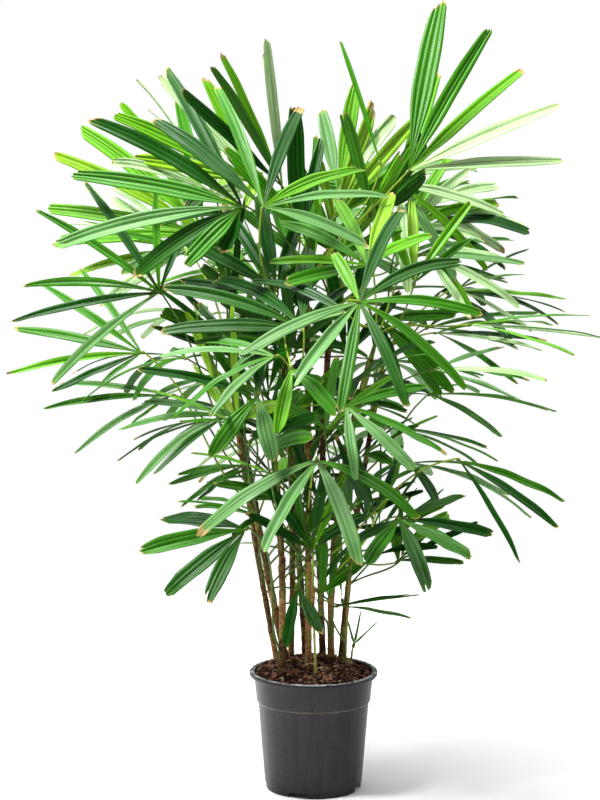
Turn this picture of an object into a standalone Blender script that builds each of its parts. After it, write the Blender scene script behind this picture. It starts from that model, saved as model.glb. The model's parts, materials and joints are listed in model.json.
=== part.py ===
"""A lady palm in its nursery pot: canes, fan-shaped fronds, bark mix and a moulded pot.

Metres, +Z up, origin at the middle of the pot's flat underside, front of the plant towards -Y.
"""
import math
import random
from typing import NamedTuple

import bpy
from mathutils import Vector
from mathutils.bvhtree import BVHTree

# Clearance between neighbouring solids
GAP = 0.0003

# Pot
POT_HEIGHT = 0.220
RIM_RADIUS = 0.118
RIM_HEIGHT = 0.0095
WALL = 0.0020
FLOOR_THICKNESS = 0.0022
CHANNEL_HEIGHT = 0.0095
PLINTH_FLARE = 0.0070
EDGE_EASE = 0.0022
COLLAR_TOP_RADIUS = 0.1096
COLLAR_FOOT_RADIUS = 0.1050
COLLAR_FOOT = 0.1650
BODY_TOP_RADIUS = 0.1020
BODY_FOOT_RADIUS = 0.0897
SKIRT_RADIUS = 0.0877
SKIRT_HEIGHT = 0.0105
PLINTH_RADIUS = 0.0580
TURNED_SIDES = 36
NOTCH_COUNT = 4
NOTCH_WIDTH = 0.036
NOTCH_HEIGHT = 0.0088
NOTCH_COMPASS = -109.0
DRAIN_COUNT = 8
DRAIN_RADIUS = 0.0050
DRAIN_RING = 0.0750

# Bark mix in the pot
SOIL_TOP = 0.222
SOIL_EDGE = 0.2145
SOIL_FLAT_RADIUS = 0.094

# Canes
CANE_SIDES = 10
CANE_SPANS = 5
FOOT_FLARE = 1.25
FLARE_REACH = 0.03
FLARE_REACH_SHARE = 0.15

# Crown shaft that carries the top fronds of a cane
SHAFT_SLENDER = 9.0
SHAFT_FOOT_SHARE = 0.92
SHAFT_TIP_SHARE = 0.50

# Fronds
LINE_STEPS = 16
STATIONS = (0.0, 0.44, 0.81, 1.0)
STATION_WIDTH = (0.0, 1.0, 0.80, 0.26)
STATION_DEPTH = (1.0, 1.0, 1.0, 0.7)
BLADE_THICKNESS = 0.0115
HUB_RADIUS = 0.011
WIDEST_ROOT = 22.0
STALK_HALF = 0.0021
STALK_STEPS = 5
ENVELOPE = 0.0009
STALK_ENVELOPE = 0.0014
STALK_BOWS = (0.33, 0.25, 0.42, 0.15)
CHOICE_LIMIT = 90
ROOT_CLEAR = 0.12
HUB_CLEAR = 0.020
HUB_SPACE = 0.017
BASE_REACH = 0.014
NEIGHBOUR_SHARE = 0.97
TUFT_SHARE = 0.985
TUFT_PULL = 0.45
BASE_LIMIT = 34

SEED = 11


class Cane(NamedTuple):
    """One cane: where it stands, a point half-way, its top and its radii, in metres."""
    foot: tuple
    middle: tuple
    top: tuple
    foot_radius: float
    top_radius: float


class Frond(NamedTuple):
    """One frond.

    The hub is where its leaflets meet (m), face the bearing and lift of the blade's upper side, and
    fan the clock angles of its first and last leaflet, anticlockwise from the right as seen from
    that side (degrees). Ends are the lengths of the first and last leaflet beside the middle ones.
    A frond that a known cane carries names it, with the height where it leaves it (m).
    """
    hub: tuple
    face: tuple
    fan: tuple
    count: int
    length: float
    width: float
    droop: float
    tone: str
    ends: tuple = (0.80, 0.80)
    cane: int = -1
    height: float = 0.0


CANES = (
    Cane((-0.050, 0.040), (-0.100, 0.030, 0.480), (-0.150, 0.020, 0.780), 0.0068, 0.0052),
    Cane((-0.059, -0.020), (-0.059, -0.020, 0.440), (-0.075, -0.030, 0.640), 0.0070, 0.0048),
    Cane((-0.042, 0.078), (-0.040, 0.060, 0.500), (-0.052, 0.040, 0.800), 0.0054, 0.0044),
    Cane((-0.009, 0.000), (-0.010, 0.000, 0.560), (-0.012, 0.010, 0.900), 0.0060, 0.0048),
    Cane((0.004, -0.062), (0.000, -0.056, 0.330), (-0.002, -0.052, 0.420), 0.0028, 0.0024),
    Cane((0.018, 0.082), (0.014, 0.070, 0.500), (0.030, 0.060, 0.870), 0.0060, 0.0048),
    Cane((0.033, 0.045), (0.046, 0.030, 0.520), (0.105, 0.010, 0.800), 0.0064, 0.0050),
    Cane((0.058, 0.012), (0.062, 0.004, 0.320), (0.068, -0.006, 0.410), 0.0030, 0.0024),
    Cane((-0.015, 0.074), (-0.035, 0.110, 0.520), (-0.060, 0.150, 0.800), 0.0056, 0.0044),
    Cane((0.052, 0.066), (0.080, 0.100, 0.480), (0.130, 0.150, 0.760), 0.0056, 0.0044),
    Cane((-0.068, 0.055), (-0.110, 0.100, 0.450), (-0.150, 0.150, 0.700), 0.0052, 0.0042),
    Cane((0.070, 0.032), (0.070, 0.031, 0.232), (0.071, 0.030, 0.242), 0.0022, 0.0016),
)

# Fronds that set the outline from the front, from the top of the plant down to the pot
OUTLINE_FRONDS = (
    Frond((0.169, -0.02, 1.137), (-88, 20), (10, 80), 5, 0.295, 0.040, 0.14, "bright", (0.90, 1.08)),
    Frond((0.120, 0.05, 1.150), (-85, 12), (98, 112), 1, 0.230, 0.010, 0.06, "mid"),
    Frond((0.157, 0.09, 1.108), (-60, 35), (-105, 58), 6, 0.225, 0.029, 0.40, "grey", (0.9, 1.2)),
    Frond((-0.056, 0.00, 1.106), (-45, 8), (88, 136), 5, 0.255, 0.038, 0.10, "mid", (0.95, 1.05)),
    Frond((-0.125, -0.12, 1.078), (-100, 20), (120, 248), 7, 0.330, 0.034, 0.32, "deep", (1.0, 0.5)),
    Frond((-0.088, -0.17, 1.080), (-80, 42), (-12, 125), 6, 0.25, 0.029, 0.45, "mid", (0.8, 1.1), 2, 0.80),
    Frond((-0.106, 0.09, 1.111), (-75, 15), (112, 165), 4, 0.275, 0.036, 0.15, "pale"),
    Frond((-0.026, -0.02, 1.017), (-75, 12), (72, 112), 3, 0.240, 0.040, 0.10, "deep"),
    Frond((0.038, 0.05, 1.049), (-70, 15), (32, 64), 3, 0.255, 0.034, 0.12, "bright", (1.0, 1.0)),
    Frond((0.044, 0.12, 1.094), (-100, 18), (58, 102), 3, 0.205, 0.034, 0.15, "pale"),
    Frond((0.075, -0.30, 0.928), (-88, 40), (-165, 108), 9, 0.240, 0.031, 0.45, "bright", (0.9, 0.9)),
    Frond((0.051, -0.22, 0.903), (-110, 40), (92, 200), 3, 0.205, 0.032, 0.60, "mid", (0.4, 1.0)),
    Frond((0.093, -0.12, 0.975), (-85, 45), (45, 192), 6, 0.195, 0.032, 0.30, "bright"),
    Frond((-0.021, -0.20, 0.872), (-95, 38), (60, 174), 5, 0.255, 0.042, 0.30, "deep", (0.5, 1.0)),
    Frond((-0.274, -0.08, 0.925), (-98, 20), (75, 213), 7, 0.268, 0.027, 0.3, "deep", (0.45, 0.9), 0, 0.60),
    Frond((-0.312, 0.00, 0.808), (-100, 32), (126, 222), 6, 0.25, 0.026, 0.18, "deep", (0.95, 0.35), 0, 0.52),
    Frond((-0.263, 0.08, 0.719), (-100, 45), (166, 224), 4, 0.225, 0.024, 0.35, "mid", (1.0, 0.45), 0, 0.560),
    Frond((-0.155, -0.10, 0.708), (-100, 45), (158, 226), 4, 0.205, 0.028, 0.50, "deep"),
    Frond((-0.098, -0.22, 0.758), (-95, 35), (-128, -72), 2, 0.135, 0.044, 0.50, "pale", (1.0, 0.6)),
    Frond((-0.115, -0.05, 0.795), (-75, 30), (122, 152), 3, 0.220, 0.034, 0.20, "deep"),
    Frond((-0.103, -0.13, 0.746), (-80, 35), (75, 155), 3, 0.205, 0.034, 0.25, "deep", (0.4, 1.0)),
    Frond((-0.067, -0.25, 0.831), (-95, 60), (148, 226), 4, 0.205, 0.028, 0.55, "mid"),
    Frond((-0.203, 0.18, 1.012), (-92, 18), (100, 180), 6, 0.325, 0.038, 0.20, "bright", (0.85, 0.85)),
    Frond((-0.236, 0.25, 0.977), (-90, 30), (98, 205), 6, 0.255, 0.030, 0.35, "pale"),
    Frond((0.173, 0.10, 1.031), (-80, 35), (5, 60), 4, 0.200, 0.030, 0.30, "pale"),
    Frond((0.209, 0.20, 1.059), (-80, 45), (-28, 30), 4, 0.205, 0.030, 0.35, "pale"),
    Frond((0.202, 0.05, 0.982), (-85, 50), (-55, 18), 5, 0.190, 0.028, 0.40, "grey"),
    Frond((0.179, -0.05, 0.939), (-85, 22), (42, 108), 4, 0.170, 0.034, 0.18, "bright"),
    Frond((0.262, 0.12, 0.912), (-85, 68), (-32, 34), 4, 0.205, 0.026, 0.25, "mid"),
    Frond((0.117, 0.05, 0.866), (-70, 35), (-80, -8), 4, 0.190, 0.036, 0.35, "deep"),
    Frond((0.278, -0.05, 0.864), (-85, 80), (-32, 36), 5, 0.250, 0.026, 0.18, "mid"),
    Frond((0.222, 0.02, 0.842), (-85, 62), (-32, 30), 5, 0.205, 0.032, 0.30, "deep"),
    Frond((-0.068, -0.02, 0.925), (-95, 30), (70, 175), 5, 0.200, 0.036, 0.25, "deep", (0.8, 0.9)),
    Frond((-0.020, 0.05, 0.900), (-80, 25), (55, 140), 5, 0.210, 0.036, 0.15, "mid"),
    Frond((0.060, 0.02, 0.800), (-85, 20), (50, 125), 4, 0.190, 0.034, 0.15, "deep"),
    Frond((0.210, -0.10, 0.789), (-85, 74), (-30, 36), 4, 0.195, 0.030, 0.25, "grey"),
    Frond((0.258, -0.12, 0.629), (-80, 42), (-64, -14), 3, 0.215, 0.024, 0.25, "mid", (1.0, 0.9), 6, 0.440),
    Frond((0.151, -0.15, 0.530), (-90, 60), (-150, 30), 6, 0.165, 0.034, 0.28, "mid", (0.5, 0.8), 7, 0.410),
    Frond((0.005, -0.25, 0.650), (-90, 55), (-160, -20), 4, 0.205, 0.036, 0.65, "pale", (1.1, 1.0)),
    Frond((0.055, -0.20, 0.738), (-85, 48), (-88, 20), 4, 0.185, 0.030, 0.45, "mid"),
    Frond((-0.039, -0.28, 0.814), (-92, 45), (-100, -45), 2, 0.125, 0.042, 0.50, "pale"),
    Frond((-0.122, -0.12, 0.506), (-95, 42), (158, 246), 4, 0.180, 0.040, 0.24, "deep", (0.9, 0.9), 1, 0.26),
    Frond((-0.129, 0.10, 0.586), (-95, 55), (180, 228), 4, 0.140, 0.018, 0.25, "mid"),
    Frond((0.044, -0.02, 0.344), (-85, 70), (-8, 24), 3, 0.150, 0.015, 0.15, "mid", (0.8, 1.0), 7, 0.270),
    Frond((-0.030, -0.035, 0.380), (-85, 35), (-105, -60), 2, 0.110, 0.030, 0.1, "deep", (1.0, 0.8), 3, 0.40),
    Frond((-0.002, -0.06, 0.455), (-88, 15), (48, 142), 5, 0.165, 0.030, 0.10, "deep", (0.8, 0.8), 4, 0.440),
    Frond((0.014, -0.02, 0.368), (-80, 10), (35, 85), 2, 0.090, 0.028, 0.10, "grey", (1.0, 1.0), 6, 0.290),
    Frond((0.075, 0.024, 0.262), (-95, 10), (45, 104), 3, 0.052, 0.006, 0.05, "mid", (1.0, 0.7), 11, 0.242),
)

# Fronds that fill the back, the sides and the inside, dealt out by a rule
BACK_COUNT = 22
BACK_LOW = 0.58
BACK_HIGH = 1.10
BACK_FIRST_BEARING = 18.0
BACK_BEARINGS = 144.0
BACK_STEP = 89.0
BACK_TONES = ("mid", "pale", "grey", "deep", "bright")
INNER_COUNT = 13
INNER_LOW = 0.46
INNER_HIGH = 0.84
INNER_REACH = 0.095
GOLDEN_ANGLE = 137.508

TONES = {
    "deep": (0.035, 0.120, 0.030),
    "mid": (0.060, 0.210, 0.040),
    "bright": (0.150, 0.420, 0.040),
    "pale": (0.300, 0.550, 0.200),
    "grey": (0.160, 0.330, 0.150),
}
CANE_COLOUR = (0.090, 0.045, 0.025)
POT_COLOUR = (0.020, 0.020, 0.022)
SOIL_COLOUR = (0.045, 0.022, 0.014)


def material(name, colour, roughness):
    """A plain Principled material."""
    made = bpy.data.materials.new(name)
    made.use_nodes = True
    shader = made.node_tree.nodes["Principled BSDF"]
    shader.inputs["Base Color"].default_value = (*colour, 1.0)
    shader.inputs["Roughness"].default_value = roughness
    return made


def add_object(name, verts, faces, finish):
    """An object from points and faces, with its own material."""
    mesh = bpy.data.meshes.new(name)
    mesh.from_pydata([tuple(vert) for vert in verts], [], faces)
    mesh.materials.append(finish)
    mesh.update()
    made = bpy.data.objects.new(name, mesh)
    bpy.context.scene.collection.objects.link(made)
    return made


def compass(degrees):
    """The level unit vector of a bearing, anticlockwise from +X."""
    angle = math.radians(degrees)
    return Vector((math.cos(angle), math.sin(angle), 0.0))


def turned(profile, sides):
    """Points and faces of a body turned round Z, from a profile that starts and ends on the axis."""
    verts = [Vector((0.0, 0.0, profile[0][1]))]
    for radius, height in profile[1:-1]:
        for index in range(sides):
            verts.append(compass(360.0 * (index + 0.5) / sides) * radius + Vector((0.0, 0.0, height)))
    verts.append(Vector((0.0, 0.0, profile[-1][1])))
    rings = len(profile) - 2
    last = len(verts) - 1
    faces = []
    for index in range(sides):
        after = (index + 1) % sides
        faces.append((0, 1 + after, 1 + index))
        faces.append((last, last - sides + index, last - sides + after))
        for ring in range(rings - 1):
            low = 1 + ring * sides
            high = low + sides
            faces.append((low + index, low + after, high + after, high + index))
    return verts, faces


def pot_profile():
    """The pot's section, out along the underside, up the wall, over the rim and down inside."""
    rim_foot = POT_HEIGHT - RIM_HEIGHT
    return (
        (0.0, 0.0),
        (PLINTH_RADIUS, 0.0),
        (PLINTH_RADIUS + PLINTH_FLARE, CHANNEL_HEIGHT),
        (SKIRT_RADIUS - WALL, CHANNEL_HEIGHT),
        (SKIRT_RADIUS - WALL, 0.0),
        (SKIRT_RADIUS, 0.0),
        (SKIRT_RADIUS, SKIRT_HEIGHT - EDGE_EASE / 2),
        (BODY_FOOT_RADIUS, SKIRT_HEIGHT),
        (BODY_TOP_RADIUS, COLLAR_FOOT - EDGE_EASE),
        (COLLAR_FOOT_RADIUS, COLLAR_FOOT),
        (COLLAR_TOP_RADIUS, rim_foot),
        (RIM_RADIUS - EDGE_EASE, rim_foot),
        (RIM_RADIUS, rim_foot + EDGE_EASE),
        (RIM_RADIUS, POT_HEIGHT - EDGE_EASE),
        (RIM_RADIUS - EDGE_EASE, POT_HEIGHT),
        (COLLAR_TOP_RADIUS + WALL / 2, POT_HEIGHT),
        (COLLAR_TOP_RADIUS - WALL, POT_HEIGHT - EDGE_EASE),
        (COLLAR_FOOT_RADIUS - WALL, COLLAR_FOOT + EDGE_EASE / 2),
        (BODY_TOP_RADIUS - WALL, COLLAR_FOOT - EDGE_EASE),
        (BODY_FOOT_RADIUS - WALL, CHANNEL_HEIGHT + FLOOR_THICKNESS),
        (PLINTH_RADIUS + PLINTH_FLARE - EDGE_EASE / 2, CHANNEL_HEIGHT + FLOOR_THICKNESS),
        (PLINTH_RADIUS - EDGE_EASE / 2, FLOOR_THICKNESS),
        (0.0, FLOOR_THICKNESS),
    )


def soil_profile():
    """The bark mix, clear of the pot's inside by the gap, with a level top where the canes stand."""
    foot = FLOOR_THICKNESS + GAP
    shy = WALL + 1.5 * GAP
    return (
        (0.0, foot),
        (PLINTH_RADIUS - EDGE_EASE / 2 - 1.5 * GAP, foot),
        (PLINTH_RADIUS + PLINTH_FLARE - EDGE_EASE / 2 - 1.5 * GAP, CHANNEL_HEIGHT + foot),
        (BODY_FOOT_RADIUS - shy, CHANNEL_HEIGHT + foot),
        (BODY_TOP_RADIUS - shy, COLLAR_FOOT - EDGE_EASE),
        (COLLAR_FOOT_RADIUS - shy, COLLAR_FOOT + EDGE_EASE / 2),
        (COLLAR_TOP_RADIUS - shy, SOIL_EDGE),
        (SOIL_FLAT_RADIUS, SOIL_TOP),
        (0.0, SOIL_TOP),
    )


def box_points(centre, forward, half_sizes):
    """The eight corners and six faces of a box that looks along a level direction."""
    across = Vector((-forward.y, forward.x, 0.0))
    up = Vector((0.0, 0.0, 1.0))
    corners = []
    for high in (-1, 1):
        for along, aside in ((-1, -1), (1, -1), (1, 1), (-1, 1)):
            corners.append(
                centre
                + forward * (along * half_sizes[0])
                + across * (aside * half_sizes[1])
                + up * (high * half_sizes[2])
            )
    faces = [(3, 2, 1, 0), (4, 5, 6, 7), (0, 1, 5, 4), (1, 2, 6, 5), (2, 3, 7, 6), (3, 0, 4, 7)]
    return corners, faces


def build_pot():
    """The moulded pot, with notches in its skirt and drain holes in its floor."""
    finish = material("pot_plastic", POT_COLOUR, 0.45)
    pot = add_object("pot", *turned(pot_profile(), TURNED_SIDES), finish)
    cutters = bpy.data.collections.new("pot_cutters")
    bpy.context.scene.collection.children.link(cutters)
    for index in range(NOTCH_COUNT):
        forward = compass(NOTCH_COMPASS + 360.0 * index / NOTCH_COUNT)
        centre = forward * SKIRT_RADIUS
        half_sizes = (4.0 * WALL, NOTCH_WIDTH / 2, NOTCH_HEIGHT)
        cutter = add_object(f"notch_cutter_{index}", *box_points(centre, forward, half_sizes), finish)
        bpy.context.scene.collection.objects.unlink(cutter)
        cutters.objects.link(cutter)
    for index in range(DRAIN_COUNT):
        centre = compass(NOTCH_COMPASS + 360.0 * (index + 0.5) / DRAIN_COUNT) * DRAIN_RING
        outline = ((0.0, 0.0), (DRAIN_RADIUS, 0.0), (DRAIN_RADIUS, SKIRT_HEIGHT * 2), (0.0, SKIRT_HEIGHT * 2))
        verts, faces = turned(outline, 8)
        cutter = add_object(f"drain_cutter_{index}", [vert + centre for vert in verts], faces, finish)
        bpy.context.scene.collection.objects.unlink(cutter)
        cutters.objects.link(cutter)
    cut = pot.modifiers.new("cuts", "BOOLEAN")
    cut.operation = "DIFFERENCE"
    cut.operand_type = "COLLECTION"
    cut.collection = cutters
    apply_modifiers(pot)
    drop_collection(cutters)
    smooth(pot)
    return pot


def apply_modifiers(target):
    """Keep the mesh that the modifiers make, and drop the modifiers."""
    graph = bpy.context.evaluated_depsgraph_get()
    made = bpy.data.meshes.new_from_object(target.evaluated_get(graph))
    target.modifiers.clear()
    target.data = made


def drop_collection(collection):
    """Remove a collection and the objects in it."""
    for member in list(collection.objects):
        bpy.data.objects.remove(member)
    bpy.data.collections.remove(collection)


def smooth(target):
    """Shade a round piece smooth, with its hard edges kept."""
    target.data.shade_smooth()
    target.data.set_sharp_from_angle(angle=math.radians(35))


def through_middle(start, middle, end, share):
    """A point on the quadratic curve that passes through the middle point half-way."""
    control = middle * 2.0 - (start + end) * 0.5
    first = start.lerp(control, share)
    second = control.lerp(end, share)
    return first.lerp(second, share)


def cane_point(cane, share):
    """A point on a cane's axis, from its foot at 0 to its top at 1, straight between the joints."""
    foot = Vector((*cane.foot, SOIL_TOP + GAP))
    before = min(int(share * CANE_SPANS), CANE_SPANS - 1)
    low = through_middle(foot, Vector(cane.middle), Vector(cane.top), before / CANE_SPANS)
    high = through_middle(foot, Vector(cane.middle), Vector(cane.top), (before + 1) / CANE_SPANS)
    return low.lerp(high, share * CANE_SPANS - before)


def flare_height(cane):
    """How high the widened foot of a cane reaches."""
    return min(FLARE_REACH, FLARE_REACH_SHARE * (cane.top[2] - SOIL_TOP))


def cane_radius(cane, share):
    """A cane's radius, which tapers evenly and flares at the foot."""
    height = cane_point(cane, share).z - SOIL_TOP
    flare = max(0.0, 1.0 - height / flare_height(cane))
    plain = cane.foot_radius + (cane.top_radius - cane.foot_radius) * share
    return plain * (1.0 + (FOOT_FLARE - 1.0) * flare)


def share_at_height(cane, height):
    """How far up a cane a height lies, by halving."""
    low = 0.0
    high = 1.0
    for _ in range(20):
        share = (low + high) / 2
        if cane_point(cane, share).z < height:
            low = share
        else:
            high = share
    return share


def tube(axis, radii, sides, level_foot):
    """Points and faces of a tapered limb with flat ends."""
    verts = []
    side = Vector((1.0, 0.0, 0.0))
    for index, point in enumerate(axis):
        before = axis[max(index - 1, 0)]
        after = axis[min(index + 1, len(axis) - 1)]
        along = (after - before).normalized()
        if index == 0 and level_foot:
            along = Vector((0.0, 0.0, 1.0))
        side = (side - along * side.dot(along)).normalized()
        other = along.cross(side)
        for turn in range(sides):
            angle = 2.0 * math.pi * turn / sides
            verts.append(point + (side * math.cos(angle) + other * math.sin(angle)) * radii[index])
    faces = [tuple(reversed(range(sides)))]
    for ring in range(len(axis) - 1):
        low = ring * sides
        for turn in range(sides):
            after = (turn + 1) % sides
            faces.append((low + turn, low + after, low + sides + after, low + sides + turn))
    top = (len(axis) - 1) * sides
    faces.append(tuple(top + turn for turn in range(sides)))
    return verts, faces


def cane_mesh(cane):
    """Points and faces of one cane."""
    shares = [0.0, share_at_height(cane, SOIL_TOP + flare_height(cane))]
    shares += [(index + 1) / CANE_SPANS for index in range(CANE_SPANS)]
    axis = [cane_point(cane, share) for share in shares]
    radii = [cane_radius(cane, share) for share in shares]
    return tube(axis, radii, CANE_SIDES, True)


def shaft_mesh(cane):
    """Points and faces of the short crown shaft that stands on a cane's flat top."""
    top = cane_point(cane, 1.0)
    along = (top - cane_point(cane, 0.95)).normalized()
    axis = [top + along * GAP, top + along * (GAP + SHAFT_SLENDER * cane.top_radius)]
    radii = [cane.top_radius * SHAFT_FOOT_SHARE, cane.top_radius * SHAFT_TIP_SHARE]
    verts, faces = tube(axis, radii, CANE_SIDES, False)
    return verts, faces


def blade_frame(face):
    """The unit vectors across, up and out of a blade whose upper side looks a given way."""
    bearing, lift = face
    out = compass(bearing) * math.cos(math.radians(lift))
    out += Vector((0.0, 0.0, math.sin(math.radians(lift))))
    across = compass(bearing + 90.0)
    return across, out.cross(across), out


def clock(frame, degrees):
    """The direction of a clock angle in a blade."""
    angle = math.radians(degrees)
    return frame[0] * math.cos(angle) + frame[1] * math.sin(angle)


def centre_line(start, direction, length, droop):
    """Points along a leaflet's rib that sets out in a direction and bends down under its weight."""
    points = [start.copy()]
    heading = direction.normalized()
    for _ in range(LINE_STEPS):
        heading = (heading + Vector((0.0, 0.0, -droop / LINE_STEPS))).normalized()
        points.append(points[-1] + heading * (length / LINE_STEPS))
    return points


class Leaflet(NamedTuple):
    """One leaflet: its rib, the direction across it at the root, its width and its length."""
    line: list
    across: Vector
    width: float
    length: float
    root_width: float
    twist: float


def rib_frame(leaflet, share):
    """The place, direction, across and up vectors at a share of a leaflet's length."""
    index = round(share * LINE_STEPS)
    before = leaflet.line[max(index - 1, 0)]
    after = leaflet.line[min(index + 1, LINE_STEPS)]
    along = (after - before).normalized()
    across = (leaflet.across - along * leaflet.across.dot(along)).normalized()
    up = along.cross(across)
    turn = leaflet.twist * share
    across = across * math.cos(turn) + up * math.sin(turn)
    return leaflet.line[index], along, across, along.cross(across)


def leaflet_sections(leaflet):
    """The left edge, right edge and keel of a leaflet at each station."""
    sections = []
    for share, wide, deep in zip(STATIONS, STATION_WIDTH, STATION_DEPTH):
        place, _, across, up = rib_frame(leaflet, share)
        half = (leaflet.root_width if share == 0.0 else leaflet.width * wide) / 2
        keel = BLADE_THICKNESS * leaflet.length * deep
        sections.append((place + across * half, place - across * half, place - up * keel))
    return sections


def leaflet_space(leaflet, start_share):
    """A tree of the space that a leaflet keeps to itself, from a share of its length to its tip."""
    verts = []
    faces = []
    stations = [share for share in STATIONS if share > start_share]
    for share in [start_share] + stations:
        place, along, across, up = rib_frame(leaflet, share)
        wide = 1.0
        if share > STATIONS[1]:
            wide = STATION_WIDTH[STATIONS.index(share)]
        if share < STATIONS[1]:
            lead = leaflet.root_width / leaflet.width
            wide = lead + (1.0 - lead) * share / STATIONS[1]
        half = leaflet.width * wide / 2 + ENVELOPE
        drop = BLADE_THICKNESS * leaflet.length + ENVELOPE
        if share == 1.0:
            place = place + along * ENVELOPE
        verts += [place + across * half + up * ENVELOPE, place - across * half + up * ENVELOPE]
        verts += [place - across * half * 0.4 - up * drop, place + across * half * 0.4 - up * drop]
    count = len(verts) // 4
    for ring in range(count - 1):
        low = ring * 4
        for turn in range(4):
            after = (turn + 1) % 4
            faces.append((low + turn, low + after, low + 4 + after, low + 4 + turn))
    faces.append((3, 2, 1, 0))
    faces.append(tuple(len(verts) - 4 + turn for turn in range(4)))
    return Space(verts, faces)


class Space:
    """A closed shape with a box round it, for finding out what touches what."""

    def __init__(self, verts, faces):
        self.tree = BVHTree.FromPolygons([tuple(vert) for vert in verts], faces)
        self.low = [min(vert[axis] for vert in verts) for axis in range(3)]
        self.high = [max(vert[axis] for vert in verts) for axis in range(3)]

    def touches(self, other):
        """Whether this shape meets another."""
        for axis in range(3):
            if self.low[axis] > other.high[axis] or other.low[axis] > self.high[axis]:
                return False
        return bool(self.tree.overlap(other.tree))


def is_free(space, others):
    """Whether a shape meets none of the others."""
    return not any(space.touches(other) for other in others)


def fan_angles(frond, rng):
    """The clock angle of each leaflet, evenly dealt with a little play."""
    first, last = frond.fan
    if frond.count == 1:
        return [(first + last) / 2]
    step = (last - first) / (frond.count - 1)
    angles = []
    for index in range(frond.count):
        play = 0.0 if index in (0, frond.count - 1) else rng.uniform(-0.16, 0.16)
        angles.append(first + step * (index + play))
    return angles


def stalk_curve(start, start_direction, end, end_direction, bow):
    """Points on a stalk that leaves a cane one way and reaches its blade another."""
    reach = (end - start).length * bow
    first = start + start_direction * reach
    second = end - end_direction * reach
    points = []
    for index in range(STALK_STEPS + 1):
        share = index / STALK_STEPS
        rest = 1.0 - share
        points.append(
            start * rest ** 3
            + first * (3 * rest * rest * share)
            + second * (3 * rest * share * share)
            + end * share ** 3
        )
    return points


def stalk_space(points, half):
    """A tree of the space that a stalk keeps to itself."""
    verts = []
    faces = []
    side = (points[-1] - points[0]).orthogonal().normalized()
    for index, point in enumerate(points):
        along = (points[min(index + 1, len(points) - 1)] - points[max(index - 1, 0)]).normalized()
        side = (side - along * side.dot(along)).normalized()
        other = along.cross(side)
        for turn in range(4):
            angle = math.pi * turn / 2
            verts.append(point + (side * math.cos(angle) + other * math.sin(angle)) * half * 1.4)
    for ring in range(len(points) - 1):
        low = ring * 4
        for turn in range(4):
            after = (turn + 1) % 4
            faces.append((low + turn, low + after, low + 4 + after, low + 4 + turn))
    faces.append((3, 2, 1, 0))
    faces.append(tuple(len(verts) - 4 + turn for turn in range(4)))
    return Space(verts, faces)


class Plan(NamedTuple):
    """A frond with its place on a cane, its stalk and its leaflets; None where one is left out."""
    frond: Frond
    place: tuple
    stalk: list
    radial: Vector
    angles: list
    leaflets: list


def attach_choices(frond, load, bases):
    """Places on the canes that could carry a frond, the best first: (cost, cane, share, base)."""
    hub = Vector(frond.hub)
    choices = []
    full = len(bases) >= BASE_LIMIT and frond.cane < 0
    for number, cane in enumerate(CANES):
        if frond.cane >= 0 and frond.cane != number:
            continue
        if frond.cane < 0 and cane.top[2] < 0.5:
            continue
        shares = [1.0]
        if frond.cane >= 0:
            first = share_at_height(cane, frond.height)
            shares = [min(first + 0.004 * index, 1.0) for index in range(31)]
        elif not full:
            shares = [0.28 + 0.72 * index / 30 for index in range(31)]
        for index, share in enumerate(shares):
            height = cane_point(cane, share).z
            cost = attach_cost(hub - cane_point(cane, share)) + 0.10 * len(load[number])
            if share < TUFT_SHARE:
                cost += sum(0.9 for taken in load[number] if abs(taken - height) < 0.022)
            else:
                cost -= TUFT_PULL
            if frond.cane >= 0:
                cost += 0.02 * index
            choices.append((cost, number, share, None))
    if full:
        for number, share, radial in bases:
            cost = attach_cost(hub - cane_point(CANES[number], share)) + 0.10 * len(load[number])
            way = Vector((hub.x, hub.y, 0.0)) - Vector((*cane_point(CANES[number], share).xy, 0.0))
            cost += 1.5 * (1.0 - way.normalized().dot(radial))
            choices.append((cost, number, share, radial))
    choices.sort(key=lambda choice: choice[0])
    return choices


def attach_cost(way):
    """How badly a frond's hub lies to be carried from a place: too far, too near or too level."""
    reach = way.length
    return 8.0 * max(0.0, reach - 0.28) + 12.0 * max(0.0, 0.11 - reach) + 1.2 * abs(way.z / reach - 0.72)


class Stalk(NamedTuple):
    """A placed stalk: the place it shares, its whole space, and its space past the first stretch."""
    place: tuple
    whole: Space
    outer: Space


def hub_space(frond):
    """A tree of the space round the place where a frond's leaflets meet."""
    hub = Vector(frond.hub)
    poles = [hub + Vector((0.0, 0.0, sign * HUB_SPACE)) for sign in (-1, 1)]
    ring = [hub + compass(60.0 * turn) * HUB_SPACE for turn in range(6)]
    faces = []
    for turn in range(6):
        after = (turn + 1) % 6
        faces += [(0, 2 + after, 2 + turn), (1, 2 + turn, 2 + after)]
    return Space(poles + ring, faces)


def stalk_spaces(points, place):
    """The spaces of a stalk, and its space from just past its foot, to hold against its own cane."""
    half = STALK_HALF + STALK_ENVELOPE
    share = min(0.9, BASE_REACH / (points[1] - points[0]).length)
    trimmed = [points[0].lerp(points[1], share)] + points[1:]
    return Stalk(place, stalk_space(points, half), stalk_space(points[1:], half)), stalk_space(trimmed, half)


def clears_hubs(points, hub, hubs):
    """Whether a stalk passes the other fronds' hubs at a distance."""
    for other in hubs:
        if other == hub:
            continue
        centre = Vector(other)
        for start, end in zip(points, points[1:]):
            along = end - start
            share = max(0.0, min(1.0, (centre - start).dot(along) / along.length_squared))
            if (start + along * share - centre).length < HUB_CLEAR:
                return False
    return True


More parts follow.
